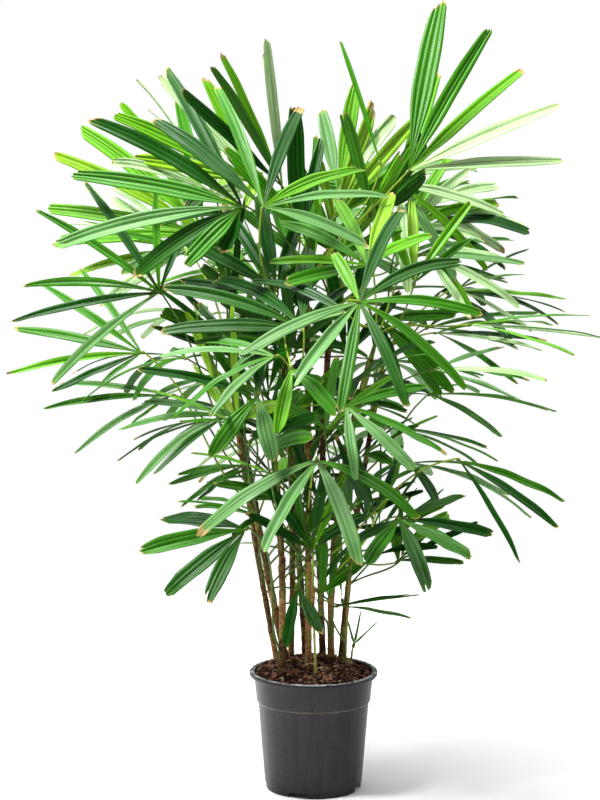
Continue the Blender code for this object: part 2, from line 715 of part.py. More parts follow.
def plan_stalk(frond, placed, cane_spaces, load, bases, hubs):
    """A stalk from a cane to the hub that touches nothing, or None."""
    hub = Vector(frond.hub)
    frame = blade_frame(frond.face)
    middle = clock(frame, (frond.fan[0] + frond.fan[1]) / 2)
    end = hub - middle * (HUB_RADIUS * 0.7)
    for _, number, share, shared in attach_choices(frond, load, bases)[:CHOICE_LIMIT]:
        cane = CANES[number]
        in_tuft = share > TUFT_SHARE
        place = (number, 1.0 if in_tuft else share)
        axis_point = cane_point(cane, share)
        up = (cane_point(cane, min(share + 0.02, 1.0)) - cane_point(cane, share - 0.02)).normalized()
        radial = hub - axis_point
        radial = (radial - up * radial.dot(up)).normalized() if shared is None else shared
        chord = (end - axis_point).normalized()
        for bow in STALK_BOWS:
            if in_tuft:
                rise = 0.35 + 0.11 * (len(load[number]) % 5)
                start = axis_point + up * (GAP + SHAFT_SLENDER * cane.top_radius * rise)
                start_way = (up * 0.9 + radial * 0.25 + chord * 0.3).normalized()
            else:
                start = axis_point + radial * (cane_radius(cane, share) + GAP)
                start_way = (up * 0.75 + radial * 0.75 + chord * 0.4).normalized()
            end_way = (middle * 0.55 + chord * 0.75).normalized()
            points = stalk_curve(start, start_way, end, end_way, bow)
            if not clears_hubs(points, frond.hub, hubs):
                continue
            stalk, trimmed = stalk_spaces(points, place)
            near = [other.whole for other in placed if other.place != place]
            for key, spaces in cane_spaces.items():
                near += spaces if key != number else []
            own = cane_spaces[number][:1] if in_tuft else cane_spaces[number]
            if not is_free(stalk.whole, near) or not is_free(trimmed, own):
                continue
            if is_free(stalk.outer, [other.outer for other in placed if other.place == place]):
                return share, points, radial, stalk
    return None


def plan_leaflets(frond, others, own_stalk, rng):
    """The leaflets of a frond, each nudged until it touches nothing, else left out."""
    frame = blade_frame(frond.face)
    hub = Vector(frond.hub)
    angles = fan_angles(frond, rng)
    step = abs(frond.fan[1] - frond.fan[0]) / max(frond.count - 1, 1)
    half_gap = min(step / 2, WIDEST_ROOT)
    kept = []
    own_spaces = []
    for index, angle in enumerate(angles):
        from_middle = (index - (frond.count - 1) / 2) / max((frond.count - 1) / 2, 1)
        end = frond.ends[0] if from_middle < 0 else frond.ends[1]
        length = frond.length * (1.0 + (end - 1.0) * abs(from_middle) ** 1.5)
        length *= rng.uniform(0.93, 1.05)
        width = frond.width * rng.uniform(0.84, 1.08)
        droop = frond.droop * rng.uniform(0.6, 1.5)
        twist = math.radians(rng.uniform(-24.0, 24.0))
        lift = math.radians((6.0 if index % 2 else -3.0) + rng.uniform(-4.0, 4.0))
        low = angles[index] - half_gap if index == 0 else (angles[index - 1] + angle) / 2
        high = angle + half_gap if index == frond.count - 1 else (angle + angles[index + 1]) / 2
        spare = math.sin(math.radians(min(angle - low, high - angle)))
        width = min(width, 2.0 * NEIGHBOUR_SHARE * spare * (HUB_RADIUS + STATIONS[1] * length))
        first = hub + clock(frame, low) * HUB_RADIUS
        last = hub + clock(frame, high) * HUB_RADIUS
        found = None
        for turn, raise_by, shrink, sag in NUDGES:
            way = clock(frame, angle + turn)
            way = way * math.cos(lift + raise_by) + frame[2] * math.sin(lift + raise_by)
            trial = Leaflet(
                centre_line((first + last) / 2, way, length * shrink, droop + sag),
                (last - first).normalized(),
                width * min(1.0, shrink + 0.08),
                length * shrink,
                (last - first).length,
                twist,
            )
            if not is_free(leaflet_space(trial, 0.06), others):
                continue
            inner = leaflet_space(trial, ROOT_CLEAR)
            if is_free(inner, own_spaces) and is_free(inner, [own_stalk]):
                found = trial
                own_spaces.append(inner)
                break
        kept.append(found)
    return angles, kept


def nudges():
    """Turns, lifts, lengths and sags to try, the smallest change first."""
    tries = []
    for shrink in (1.0, 0.86):
        for raise_by in (0.0, 0.10, -0.10, 0.20, -0.20, 0.32, -0.32):
            for turn in (0.0, 5.0, -5.0, 9.0, -9.0):
                for sag in (0.0, 0.30, -0.25):
                    change = abs(turn) / 9.0 + abs(raise_by) * 6 + (1.0 - shrink) * 12 + abs(sag) * 2
                    tries.append((change, turn, raise_by, shrink, sag))
    tries.sort(key=lambda item: item[0])
    return [item[1:] for item in tries]


NUDGES = nudges()


def back_fronds():
    """Fronds round the back and sides, in the same egg-shaped crown as the front."""
    rng = random.Random(SEED)
    rows = []
    for index in range(BACK_COUNT):
        share = (index + 0.5) / BACK_COUNT
        height = BACK_LOW + (BACK_HIGH - BACK_LOW) * share
        bearing = BACK_FIRST_BEARING + (index * BACK_STEP) % BACK_BEARINGS
        reach = 0.30 * math.sin(math.pi * (0.20 + 0.62 * share)) + rng.uniform(-0.03, 0.03)
        place = compass(bearing) * reach + Vector((0.0, 0.03, height))
        lift = -8.0 + 62.0 * share ** 1.5 + rng.uniform(-8.0, 8.0)
        spread = rng.uniform(130.0, 190.0)
        rows.append(
            Frond(
                tuple(place),
                (bearing + rng.uniform(-12.0, 12.0), 90.0 + lift),
                (-90.0 - spread / 2, -90.0 + spread / 2),
                6,
                rng.uniform(0.220, 0.265),
                rng.uniform(0.029, 0.036),
                rng.uniform(0.35, 0.75),
                BACK_TONES[index % len(BACK_TONES)],
            )
        )
    return rows


def inner_fronds():
    """Short fronds close to the canes, all round."""
    rng = random.Random(SEED + 1)
    rows = []
    for index in range(INNER_COUNT):
        share = (index + 0.5) / INNER_COUNT
        bearing = (40.0 + index * GOLDEN_ANGLE) % 360.0
        height = INNER_LOW + (INNER_HIGH - INNER_LOW) * share
        place = compass(bearing) * INNER_REACH + Vector((0.0, 0.0, height))
        rows.append(
            Frond(
                tuple(place),
                (bearing, 90.0 + rng.uniform(25.0, 60.0)),
                (-165.0, -20.0),
                5,
                rng.uniform(0.13, 0.175),
                rng.uniform(0.026, 0.033),
                rng.uniform(0.3, 0.6),
                ("deep", "mid")[index % 2],
            )
        )
    return rows


def plan_crown():
    """Every frond with its stalk and leaflets, worked out one after the other."""
    rng = random.Random(SEED + 2)
    cane_spaces = {}
    for number, cane in enumerate(CANES):
        cane_spaces[number] = [Space(*cane_mesh(cane)), Space(*shaft_mesh(cane))]
    load = [[] for _ in CANES]
    bases = []
    fronds = list(OUTLINE_FRONDS) + back_fronds() + inner_fronds()
    hubs = [frond.hub for frond in fronds]
    held = []
    placed = []
    for frond in fronds:
        found = plan_stalk(frond, placed, cane_spaces, load, bases, hubs)
        if found is None:
            continue
        share, points, radial, stalk = found
        number = stalk.place[0]
        load[number].append(cane_point(CANES[number], share).z)
        if share <= TUFT_SHARE and (number, share, radial) not in bases:
            bases.append((number, share, radial))
        placed.append(stalk)
        held.append((frond, stalk.place, points, radial))
    plans = []
    leaf_spaces = []
    solid_spaces = [space for spaces in cane_spaces.values() for space in spaces]
    hub_spaces = [hub_space(frond) for frond, _, _, _ in held]
    solid_spaces.append(Space(*turned(soil_profile(), TURNED_SIDES)))
    solid_spaces.append(Space(*turned(pot_profile(), TURNED_SIDES)))
    for index, (frond, place, points, radial) in enumerate(held):
        others = solid_spaces + leaf_spaces
        others += [stalk.whole for stalk in placed if stalk is not placed[index]]
        others += hub_spaces[:index] + hub_spaces[index + 1:]
        near = [other for other in others if close_to(other, frond)]
        angles, leaflets = plan_leaflets(frond, near, placed[index].whole, rng)
        kept = [leaflet for leaflet in leaflets if leaflet is not None]
        leaf_spaces += [leaflet_space(leaflet, 0.0) for leaflet in kept]
        plans.append(Plan(frond, place, points, radial, angles, leaflets))
    return plans


def close_to(space, frond):
    """Whether a shape's box comes within a frond's reach."""
    reach = frond.length * 1.1 + 0.02
    for axis in range(3):
        if space.low[axis] > frond.hub[axis] + reach or space.high[axis] < frond.hub[axis] - reach:
            return False
    return True


def skin_between(verts, before, now):
    """The faces between two triangular sections, each side folded outward so that it stays convex."""
    centre = sum((verts[corner] for corner in before + now), Vector()) / 6
    faces = []
    for corner in range(3):
        after = (corner + 1) % 3
        low, low_after, high, high_after = before[corner], before[after], now[corner], now[after]
        rising = (verts[low] + verts[high_after]) / 2
        falling = (verts[low_after] + verts[high]) / 2
        if (rising - centre).length >= (falling - centre).length:
            faces += [(low, low_after, high_after), (low, high_after, high)]
        else:
            faces += [(low, low_after, high), (low_after, high_after, high)]
    return faces


def frond_mesh(plan, sunk_foot):
    """Points and faces of one frond: blade, hub and stalk in a single closed skin."""
    frond = plan.frond
    frame = blade_frame(frond.face)
    hub = Vector(frond.hub)
    step = abs(frond.fan[1] - frond.fan[0]) / max(frond.count - 1, 1)
    half_gap = min(step / 2, WIDEST_ROOT)
    middle_angle = (frond.fan[0] + frond.fan[1]) / 2
    middle = clock(frame, middle_angle)
    side = frame[2].cross(middle)
    depth = BLADE_THICKNESS * frond.length
    verts = [hub + frame[2] * 0.0008, hub - frame[2] * depth]
    faces = []
    edges = [plan.angles[0] - half_gap]
    edges += [(low + high) / 2 for low, high in zip(plan.angles, plan.angles[1:])]
    edges.append(plan.angles[-1] + half_gap)
    border = []
    for angle in edges:
        border.append(len(verts))
        verts.append(hub + clock(frame, angle) * HUB_RADIUS)
    for index, leaflet in enumerate(plan.leaflets):
        right = border[index]
        left = border[index + 1]
        keel = len(verts)
        verts.append((verts[left] + verts[right]) / 2 - frame[2] * depth)
        faces.append((0, right, left))
        faces.append((1, keel, right))
        faces.append((1, left, keel))
        if leaflet is None:
            faces.append((right, keel, left))
            continue
        before = (left, right, keel)
        for section in leaflet_sections(leaflet)[1:]:
            now = tuple(len(verts) + corner for corner in range(3))
            verts.extend(section)
            faces += skin_between(verts, before, now)
            before = now
        faces.append(before)
    points = plan.stalk
    ring = stalk_ring(points[-1], side, frame[2])
    first = len(verts)
    verts.extend(ring)
    left, right, keel = first, first + 1, first + 2
    faces.append((0, border[-1], left))
    faces.append((0, left, right))
    faces.append((0, right, border[0]))
    faces.append((1, left, border[-1]))
    faces.append((1, keel, left))
    faces.append((1, right, keel))
    faces.append((1, border[0], right))
    before = (left, right, keel)
    across = side
    for index in range(len(points) - 2, -1, -1):
        along = (points[index + 1] - points[max(index - 1, 0)]).normalized()
        across = (across - along * across.dot(along)).normalized()
        ring = stalk_ring(points[index], across, along.cross(across))
        if index == 0 and not sunk_foot:
            ring = [corner - along * ((corner - points[0]).dot(plan.radial) / along.dot(plan.radial))
                    for corner in ring]
        now = tuple(len(verts) + corner for corner in range(3))
        verts.extend(ring)
        faces += [tuple(reversed(face)) for face in skin_between(verts, before, now)]
        before = now
    faces.append(tuple(reversed(before)))
    return verts, faces


def stalk_ring(place, across, up):
    """The three corners of a stalk: two upper ones and the keel."""
    half = STALK_HALF
    return [place + across * half + up * (half * 0.5), place - across * half + up * (half * 0.5),
            place - up * (half * 1.3)]


def build_canes():
    """The canes, each its own solid."""
    bark = material("cane_bark", CANE_COLOUR, 0.85)
    for number, cane in enumerate(CANES):
        made = add_object(f"cane_{number + 1:02d}", *cane_mesh(cane), bark)
        smooth(made)


def build_crown():
    """The fronds: those that leave a cane at one place are joined, the top ones by a crown shaft."""
    finishes = {tone: material(f"leaf_{tone}", colour, 0.45) for tone, colour in TONES.items()}
    groups = {}
    for plan in plan_crown():
        groups.setdefault(plan.place, []).append(plan)
    count = 0
    for (number, share), members in groups.items():
        finish = finishes[members[0].frond.tone if len(members) == 1 else "mid"]
        meshes = [frond_mesh(plan, share > TUFT_SHARE) for plan in members]
        if share > TUFT_SHARE:
            meshes.insert(0, shaft_mesh(CANES[number]))
            name = f"tuft_{number + 1:02d}"
        else:
            count += 1
            name = f"frond_{count:02d}"
        join_meshes(name, meshes, finish)


def join_meshes(name, meshes, finish):
    """One object from closed skins that run into each other, by a union when there are several."""
    whole = add_object(name, *meshes[0], finish)
    if len(meshes) == 1:
        return
    group = bpy.data.collections.new(name + "_parts")
    bpy.context.scene.collection.children.link(group)
    for index, mesh in enumerate(meshes[1:]):
        part = add_object(f"{name}_part_{index}", *mesh, finish)
        bpy.context.scene.collection.objects.unlink(part)
        group.objects.link(part)
    join = whole.modifiers.new("join", "BOOLEAN")
    join.operation = "UNION"
    join.operand_type = "COLLECTION"
    join.collection = group
    join.solver = "MANIFOLD"
    apply_modifiers(whole)
    drop_collection(group)


def main():
    """Clear the scene and build the palm."""
    for old in list(bpy.data.objects):
        bpy.data.objects.remove(old)
    build_pot()
    soil = material("bark_mix", SOIL_COLOUR, 0.95)
    add_object("soil", *turned(soil_profile(), TURNED_SIDES), soil)
    build_canes()
    build_crown()


main()
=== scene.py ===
"""A potted lady palm, dressed: pleated fronds, fibrous canes, bark mix and a moulded nursery pot.

Metres, +Z up, origin at the middle of the pot's flat underside, front of the plant towards -Y.
"""
import json
import math
import random
from functools import lru_cache
from typing import NamedTuple

import bpy
import numpy as np
from mathutils import Euler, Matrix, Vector, noise
from mathutils.bvhtree import BVHTree

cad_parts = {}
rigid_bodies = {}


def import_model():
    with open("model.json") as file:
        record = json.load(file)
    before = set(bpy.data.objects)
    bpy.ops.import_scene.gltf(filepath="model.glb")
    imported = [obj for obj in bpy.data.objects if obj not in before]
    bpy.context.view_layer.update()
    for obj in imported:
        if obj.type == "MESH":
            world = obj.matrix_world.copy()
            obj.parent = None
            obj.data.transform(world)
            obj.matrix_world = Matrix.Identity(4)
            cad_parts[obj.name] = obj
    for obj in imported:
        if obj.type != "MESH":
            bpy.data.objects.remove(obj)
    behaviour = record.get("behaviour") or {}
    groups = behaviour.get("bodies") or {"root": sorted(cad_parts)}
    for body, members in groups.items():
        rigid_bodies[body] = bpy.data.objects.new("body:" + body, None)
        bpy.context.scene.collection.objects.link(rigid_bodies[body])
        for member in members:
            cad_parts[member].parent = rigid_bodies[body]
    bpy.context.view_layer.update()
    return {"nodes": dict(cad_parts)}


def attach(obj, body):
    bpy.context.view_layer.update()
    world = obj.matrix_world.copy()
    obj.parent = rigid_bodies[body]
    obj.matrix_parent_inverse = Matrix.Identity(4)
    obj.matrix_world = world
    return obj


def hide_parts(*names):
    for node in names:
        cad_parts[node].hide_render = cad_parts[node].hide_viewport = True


bl_info = {
    "name": "Potted lady palm",
    "version": (1, 0, 0),
    "blender": (4, 5, 0),
    "location": "3D View > Sidebar > Palm",
    "description": "Fronds, canes, bark mix, nursery pot and a plain studio for a lady palm",
    "category": "Object",
}

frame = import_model()
BODY = "root"

# Clearance between neighbouring solids in the frame
GAP = 0.0003

# Pot
POT_HEIGHT = 0.220
RIM_RADIUS = 0.118
RIM_HEIGHT = 0.0095
WALL = 0.0020
FLOOR_THICKNESS = 0.0022
CHANNEL_HEIGHT = 0.0095
PLINTH_FLARE = 0.0070
EDGE_EASE = 0.0022
COLLAR_TOP_RADIUS = 0.1096
COLLAR_FOOT_RADIUS = 0.1050
COLLAR_FOOT = 0.1650
BODY_TOP_RADIUS = 0.1020
BODY_FOOT_RADIUS = 0.0897
SKIRT_RADIUS = 0.0877
SKIRT_HEIGHT = 0.0105
PLINTH_RADIUS = 0.0580
TURNED_SIDES = 36
NOTCH_COUNT = 4
NOTCH_WIDTH = 0.036
NOTCH_HEIGHT = 0.0088
NOTCH_COMPASS = -109.0
DRAIN_COUNT = 8
DRAIN_RADIUS = 0.0050
DRAIN_RING = 0.0750
POT_SIDES = 128
DRAIN_SIDES = 24

# Bark mix in the pot
SOIL_TOP = 0.222
SOIL_EDGE = 0.2145
SOIL_FLAT_RADIUS = 0.094

# Canes
CANE_SIDES = 10
CANE_SPANS = 5
FOOT_FLARE = 1.25
FLARE_REACH = 0.03
FLARE_REACH_SHARE = 0.15

# Crown shaft that carries the top fronds of a cane
SHAFT_SLENDER = 9.0
SHAFT_FOOT_SHARE = 0.92
SHAFT_TIP_SHARE = 0.50
SHAFT_FIRST = 0.35
SHAFT_STEP = 0.11
SHAFT_PLACES = 5

# Fronds
LINE_STEPS = 16
STATIONS = (0.0, 0.44, 0.81, 1.0)
STATION_WIDTH = (0.0, 1.0, 0.80, 0.26)
BLADE_THICKNESS = 0.0115
HUB_RADIUS = 0.011
WIDEST_ROOT = 22.0
STALK_HALF = 0.0021
STALK_STEPS = 5
ENVELOPE = 0.0009
STALK_ENVELOPE = 0.0014
CORNER_REACH = 1.4
STALK_BOWS = (0.33, 0.25, 0.42, 0.15)
STALK_END = 0.7
CANE_STEP = 0.02
CHOICE_LIMIT = 90
ROOT_CLEAR = 0.12
ROOT_SPACE = 0.06
END_POWER = 1.5
HUB_CLEAR = 0.020
HUB_SPACE = 0.017
BASE_REACH = 0.014
NEIGHBOUR_SHARE = 0.97
NEAR_SHARE = 1.1
TUFT_SHARE = 0.985
TUFT_PULL = 0.45
BASE_LIMIT = 34

SEED = 11
UP = Vector((0.0, 0.0, 1.0))

# How leaflets differ from the evenly dealt: shares of the step, length, width and droop, and degrees
ANGLE_PLAY = 0.16
LENGTH_PLAY = (0.93, 1.05)
WIDTH_PLAY = (0.84, 1.08)
DROOP_PLAY = (0.6, 1.5)
TWIST_PLAY = 24.0
LIFTS = (-3.0, 6.0)
LIFT_PLAY = 4.0

# Where a cane may carry a frond, as a share of its height, and what a place costs
ATTACH_LOW = 0.28
ATTACH_STEPS = 30
KNOWN_STEP = 0.004
CROWDING_COST = 0.10
CLASH_COST = 0.9
CLASH_HEIGHT = 0.022
EASY_REACH = (0.11, 0.28)
EASY_RISE = 0.72
TALL_CANE = 0.5
KNOWN_COST = 0.02
TURN_COST = 1.5
FAR_COST = 8.0
NEAR_COST = 12.0
SLOPE_COST = 1.2

# Camera that fits the photograph
CAMERA_PLACE = (-0.0249, -4.270, 1.293)
CAMERA_PITCH = 7.62
FOCAL_PIXELS = 2372.0
PICTURE_HEIGHT = 800.0
SENSOR_WIDTH = 36.0

# Squares along a side of the studio floor
FLOOR_STEPS = 24

# How bright the white surround is as light and as seen in glossy skins
SURROUND_LIGHT = 0.24
SURROUND_MIRRORED = 0.05

# Finer fronds that grow between those of the frame
GROWTH_COUNT = 300
GROWTH_LOW = 0.40
GROWTH_HIGH = 1.06
GROWTH_REACH = (0.02, 0.20)
GROWTH_UPRIGHT = 0.75
SPROUT_COUNT = 60
SPROUT_LOW = 0.31
SPROUT_HIGH = 0.62
SPROUT_REACH = (0.0, 0.085)


class Cane(NamedTuple):
    """One cane: where it stands, a point half-way, its top and its radii, in metres."""
    foot: tuple
    middle: tuple
    top: tuple
    foot_radius: float
    top_radius: float


class Frond(NamedTuple):
    """One frond.

    The hub is where its leaflets meet (m), face the bearing and lift of the blade's upper side, and
    fan the clock angles of its first and last leaflet, anticlockwise from the right as seen from
    that side (degrees). Ends are the lengths of the first and last leaflet beside the middle ones.
    A frond that a known cane carries names it, with the height where it leaves it (m).
    """
    hub: tuple
    face: tuple
    fan: tuple
    count: int
    length: float
    width: float
    droop: float
    tone: str
    ends: tuple = (0.80, 0.80)
    cane: int = -1
    height: float = 0.0


CANES = [Cane(*row) for row in (
    ((-0.050, 0.040), (-0.100, 0.030, 0.480), (-0.150, 0.020, 0.780), 0.0068, 0.0052),
    ((-0.059, -0.020), (-0.059, -0.020, 0.440), (-0.075, -0.030, 0.640), 0.0070, 0.0048),
    ((-0.042, 0.078), (-0.040, 0.060, 0.500), (-0.052, 0.040, 0.800), 0.0054, 0.0044),
    ((-0.009, 0.000), (-0.010, 0.000, 0.560), (-0.012, 0.010, 0.900), 0.0060, 0.0048),
    ((0.004, -0.062), (0.000, -0.056, 0.330), (-0.002, -0.052, 0.420), 0.0028, 0.0024),
    ((0.018, 0.082), (0.014, 0.070, 0.500), (0.030, 0.060, 0.870), 0.0060, 0.0048),
    ((0.033, 0.045), (0.046, 0.030, 0.520), (0.105, 0.010, 0.800), 0.0064, 0.0050),
    ((0.058, 0.012), (0.062, 0.004, 0.320), (0.068, -0.006, 0.410), 0.0030, 0.0024),
    ((-0.015, 0.074), (-0.035, 0.110, 0.520), (-0.060, 0.150, 0.800), 0.0056, 0.0044),
    ((0.052, 0.066), (0.080, 0.100, 0.480), (0.130, 0.150, 0.760), 0.0056, 0.0044),
    ((-0.068, 0.055), (-0.110, 0.100, 0.450), (-0.150, 0.150, 0.700), 0.0052, 0.0042),
    ((0.070, 0.032), (0.070, 0.031, 0.232), (0.071, 0.030, 0.242), 0.0022, 0.0016),
)]

# Fronds that set the outline from the front, from the top of the plant down to the pot
OUTLINE_FRONDS = [Frond(*row) for row in (
    ((0.169, -0.02, 1.137), (-88, 20), (10, 80), 5, 0.295, 0.040, 0.14, "bright", (0.90, 1.08)),
    ((0.120, 0.05, 1.150), (-85, 12), (98, 112), 1, 0.230, 0.010, 0.06, "mid"),
    ((0.157, 0.09, 1.108), (-60, 35), (-105, 58), 6, 0.225, 0.029, 0.40, "grey", (0.9, 1.2)),
    ((-0.056, 0.00, 1.106), (-45, 8), (88, 136), 5, 0.255, 0.038, 0.10, "mid", (0.95, 1.05)),
    ((-0.125, -0.12, 1.078), (-100, 20), (120, 248), 7, 0.330, 0.034, 0.32, "deep", (1.0, 0.5)),
    ((-0.088, -0.17, 1.080), (-80, 42), (-12, 125), 6, 0.25, 0.029, 0.45, "mid", (0.8, 1.1), 2, 0.80),
    ((-0.106, 0.09, 1.111), (-75, 15), (112, 165), 4, 0.275, 0.036, 0.15, "pale"),
    ((-0.026, -0.02, 1.017), (-75, 12), (72, 112), 3, 0.240, 0.040, 0.10, "deep"),
    ((0.038, 0.05, 1.049), (-70, 15), (32, 64), 3, 0.255, 0.034, 0.12, "bright", (1.0, 1.0)),
    ((0.044, 0.12, 1.094), (-100, 18), (58, 102), 3, 0.205, 0.034, 0.15, "pale"),
    ((0.075, -0.30, 0.928), (-88, 40), (-165, 108), 9, 0.240, 0.031, 0.45, "bright", (0.9, 0.9)),
    ((0.051, -0.22, 0.903), (-110, 40), (92, 200), 3, 0.205, 0.032, 0.60, "mid", (0.4, 1.0)),
    ((0.093, -0.12, 0.975), (-85, 45), (45, 192), 6, 0.195, 0.032, 0.30, "bright"),
    ((-0.021, -0.20, 0.872), (-95, 38), (60, 174), 5, 0.255, 0.042, 0.30, "deep", (0.5, 1.0)),
    ((-0.274, -0.08, 0.925), (-98, 20), (75, 213), 7, 0.268, 0.027, 0.3, "deep", (0.45, 0.9), 0, 0.60),
    ((-0.312, 0.00, 0.808), (-100, 32), (126, 222), 6, 0.25, 0.026, 0.18, "deep", (0.95, 0.35), 0, 0.52),
    ((-0.263, 0.08, 0.719), (-100, 45), (166, 224), 4, 0.225, 0.024, 0.35, "mid", (1.0, 0.45), 0, 0.560),
    ((-0.155, -0.10, 0.708), (-100, 45), (158, 226), 4, 0.205, 0.028, 0.50, "deep"),
    ((-0.098, -0.22, 0.758), (-95, 35), (-128, -72), 2, 0.135, 0.044, 0.50, "pale", (1.0, 0.6)),
    ((-0.115, -0.05, 0.795), (-75, 30), (122, 152), 3, 0.220, 0.034, 0.20, "deep"),
    ((-0.103, -0.13, 0.746), (-80, 35), (75, 155), 3, 0.205, 0.034, 0.25, "deep", (0.4, 1.0)),
    ((-0.067, -0.25, 0.831), (-95, 60), (148, 226), 4, 0.205, 0.028, 0.55, "mid"),
    ((-0.203, 0.18, 1.012), (-92, 18), (100, 180), 6, 0.325, 0.038, 0.20, "bright", (0.85, 0.85)),
    ((-0.236, 0.25, 0.977), (-90, 30), (98, 205), 6, 0.255, 0.030, 0.35, "pale"),
    ((0.173, 0.10, 1.031), (-80, 35), (5, 60), 4, 0.200, 0.030, 0.30, "pale"),
    ((0.209, 0.20, 1.059), (-80, 45), (-28, 30), 4, 0.205, 0.030, 0.35, "pale"),
    ((0.202, 0.05, 0.982), (-85, 50), (-55, 18), 5, 0.190, 0.028, 0.40, "grey"),
    ((0.179, -0.05, 0.939), (-85, 22), (42, 108), 4, 0.170, 0.034, 0.18, "bright"),
    ((0.262, 0.12, 0.912), (-85, 68), (-32, 34), 4, 0.205, 0.026, 0.25, "mid"),
    ((0.117, 0.05, 0.866), (-70, 35), (-80, -8), 4, 0.190, 0.036, 0.35, "deep"),
    ((0.278, -0.05, 0.864), (-85, 80), (-32, 36), 5, 0.250, 0.026, 0.18, "mid"),
    ((0.222, 0.02, 0.842), (-85, 62), (-32, 30), 5, 0.205, 0.032, 0.30, "deep"),
    ((-0.068, -0.02, 0.925), (-95, 30), (70, 175), 5, 0.200, 0.036, 0.25, "deep", (0.8, 0.9)),
    ((-0.020, 0.05, 0.900), (-80, 25), (55, 140), 5, 0.210, 0.036, 0.15, "mid"),
    ((0.060, 0.02, 0.800), (-85, 20), (50, 125), 4, 0.190, 0.034, 0.15, "deep"),
    ((0.210, -0.10, 0.789), (-85, 74), (-30, 36), 4, 0.195, 0.030, 0.25, "grey"),
    ((0.258, -0.12, 0.629), (-80, 42), (-64, -14), 3, 0.215, 0.024, 0.25, "mid", (1.0, 0.9), 6, 0.440),
    ((0.151, -0.15, 0.530), (-90, 60), (-150, 30), 6, 0.165, 0.034, 0.28, "mid", (0.5, 0.8), 7, 0.410),
    ((0.005, -0.25, 0.650), (-90, 55), (-160, -20), 4, 0.205, 0.036, 0.65, "pale", (1.1, 1.0)),
    ((0.055, -0.20, 0.738), (-85, 48), (-88, 20), 4, 0.185, 0.030, 0.45, "mid"),
    ((-0.039, -0.28, 0.814), (-92, 45), (-100, -45), 2, 0.125, 0.042, 0.50, "pale"),
    ((-0.122, -0.12, 0.506), (-95, 42), (158, 246), 4, 0.180, 0.040, 0.24, "deep", (0.9, 0.9), 1, 0.26),
    ((-0.129, 0.10, 0.586), (-95, 55), (180, 228), 4, 0.140, 0.018, 0.25, "mid"),
    ((0.044, -0.02, 0.344), (-85, 70), (-8, 24), 3, 0.150, 0.015, 0.15, "mid", (0.8, 1.0), 7, 0.270),
    ((-0.030, -0.035, 0.380), (-85, 35), (-105, -60), 2, 0.110, 0.030, 0.1, "deep", (1.0, 0.8), 3, 0.40),
    ((-0.002, -0.06, 0.455), (-88, 15), (48, 142), 5, 0.165, 0.030, 0.10, "deep", (0.8, 0.8), 4, 0.440),
    ((0.014, -0.02, 0.368), (-80, 10), (35, 85), 2, 0.090, 0.028, 0.10, "grey", (1.0, 1.0), 6, 0.290),
    ((0.075, 0.024, 0.262), (-95, 10), (45, 104), 3, 0.052, 0.006, 0.05, "mid", (1.0, 0.7), 11, 0.242),
)]

# Fronds that fill the back, the sides and the inside, dealt out by a rule
BACK_COUNT = 22
BACK_LOW = 0.58
BACK_HIGH = 1.10
BACK_FIRST_BEARING = 18.0
BACK_BEARINGS = 144.0
BACK_STEP = 89.0
BACK_TONES = ("mid", "pale", "grey", "deep", "bright")
INNER_COUNT = 13
INNER_LOW = 0.46
INNER_HIGH = 0.84
INNER_REACH = 0.095
GOLDEN_ANGLE = 137.508
GOLDEN_SHARE = 0.618034


def compass(degrees):
    """The level unit vector of a bearing, anticlockwise from +X."""
    angle = math.radians(degrees)
    return Vector((math.cos(angle), math.sin(angle), 0.0))


def turned_faces(rings, sides):
    """The faces of a turned body: rings of points between a first and a last point on the axis."""
    last = rings * sides + 1
    faces = []
    for index in range(sides):
        after = (index + 1) % sides
        faces.append((0, 1 + after, 1 + index))
        faces.append((last, last - sides + index, last - sides + after))
        for ring in range(rings - 1):
            low = 1 + ring * sides
            high = low + sides
            faces.append((low + index, low + after, high + after, high + index))
    return faces


def turned(profile, sides):
    """Points and faces of a body turned round Z, from a profile that starts and ends on the axis."""
    verts = [Vector((0.0, 0.0, profile[0][1]))]
    for radius, height in profile[1:-1]:
        for index in range(sides):
            verts.append(compass(360.0 * (index + 0.5) / sides) * radius + UP * height)
    verts.append(Vector((0.0, 0.0, profile[-1][1])))
    return verts, turned_faces(len(profile) - 2, sides)


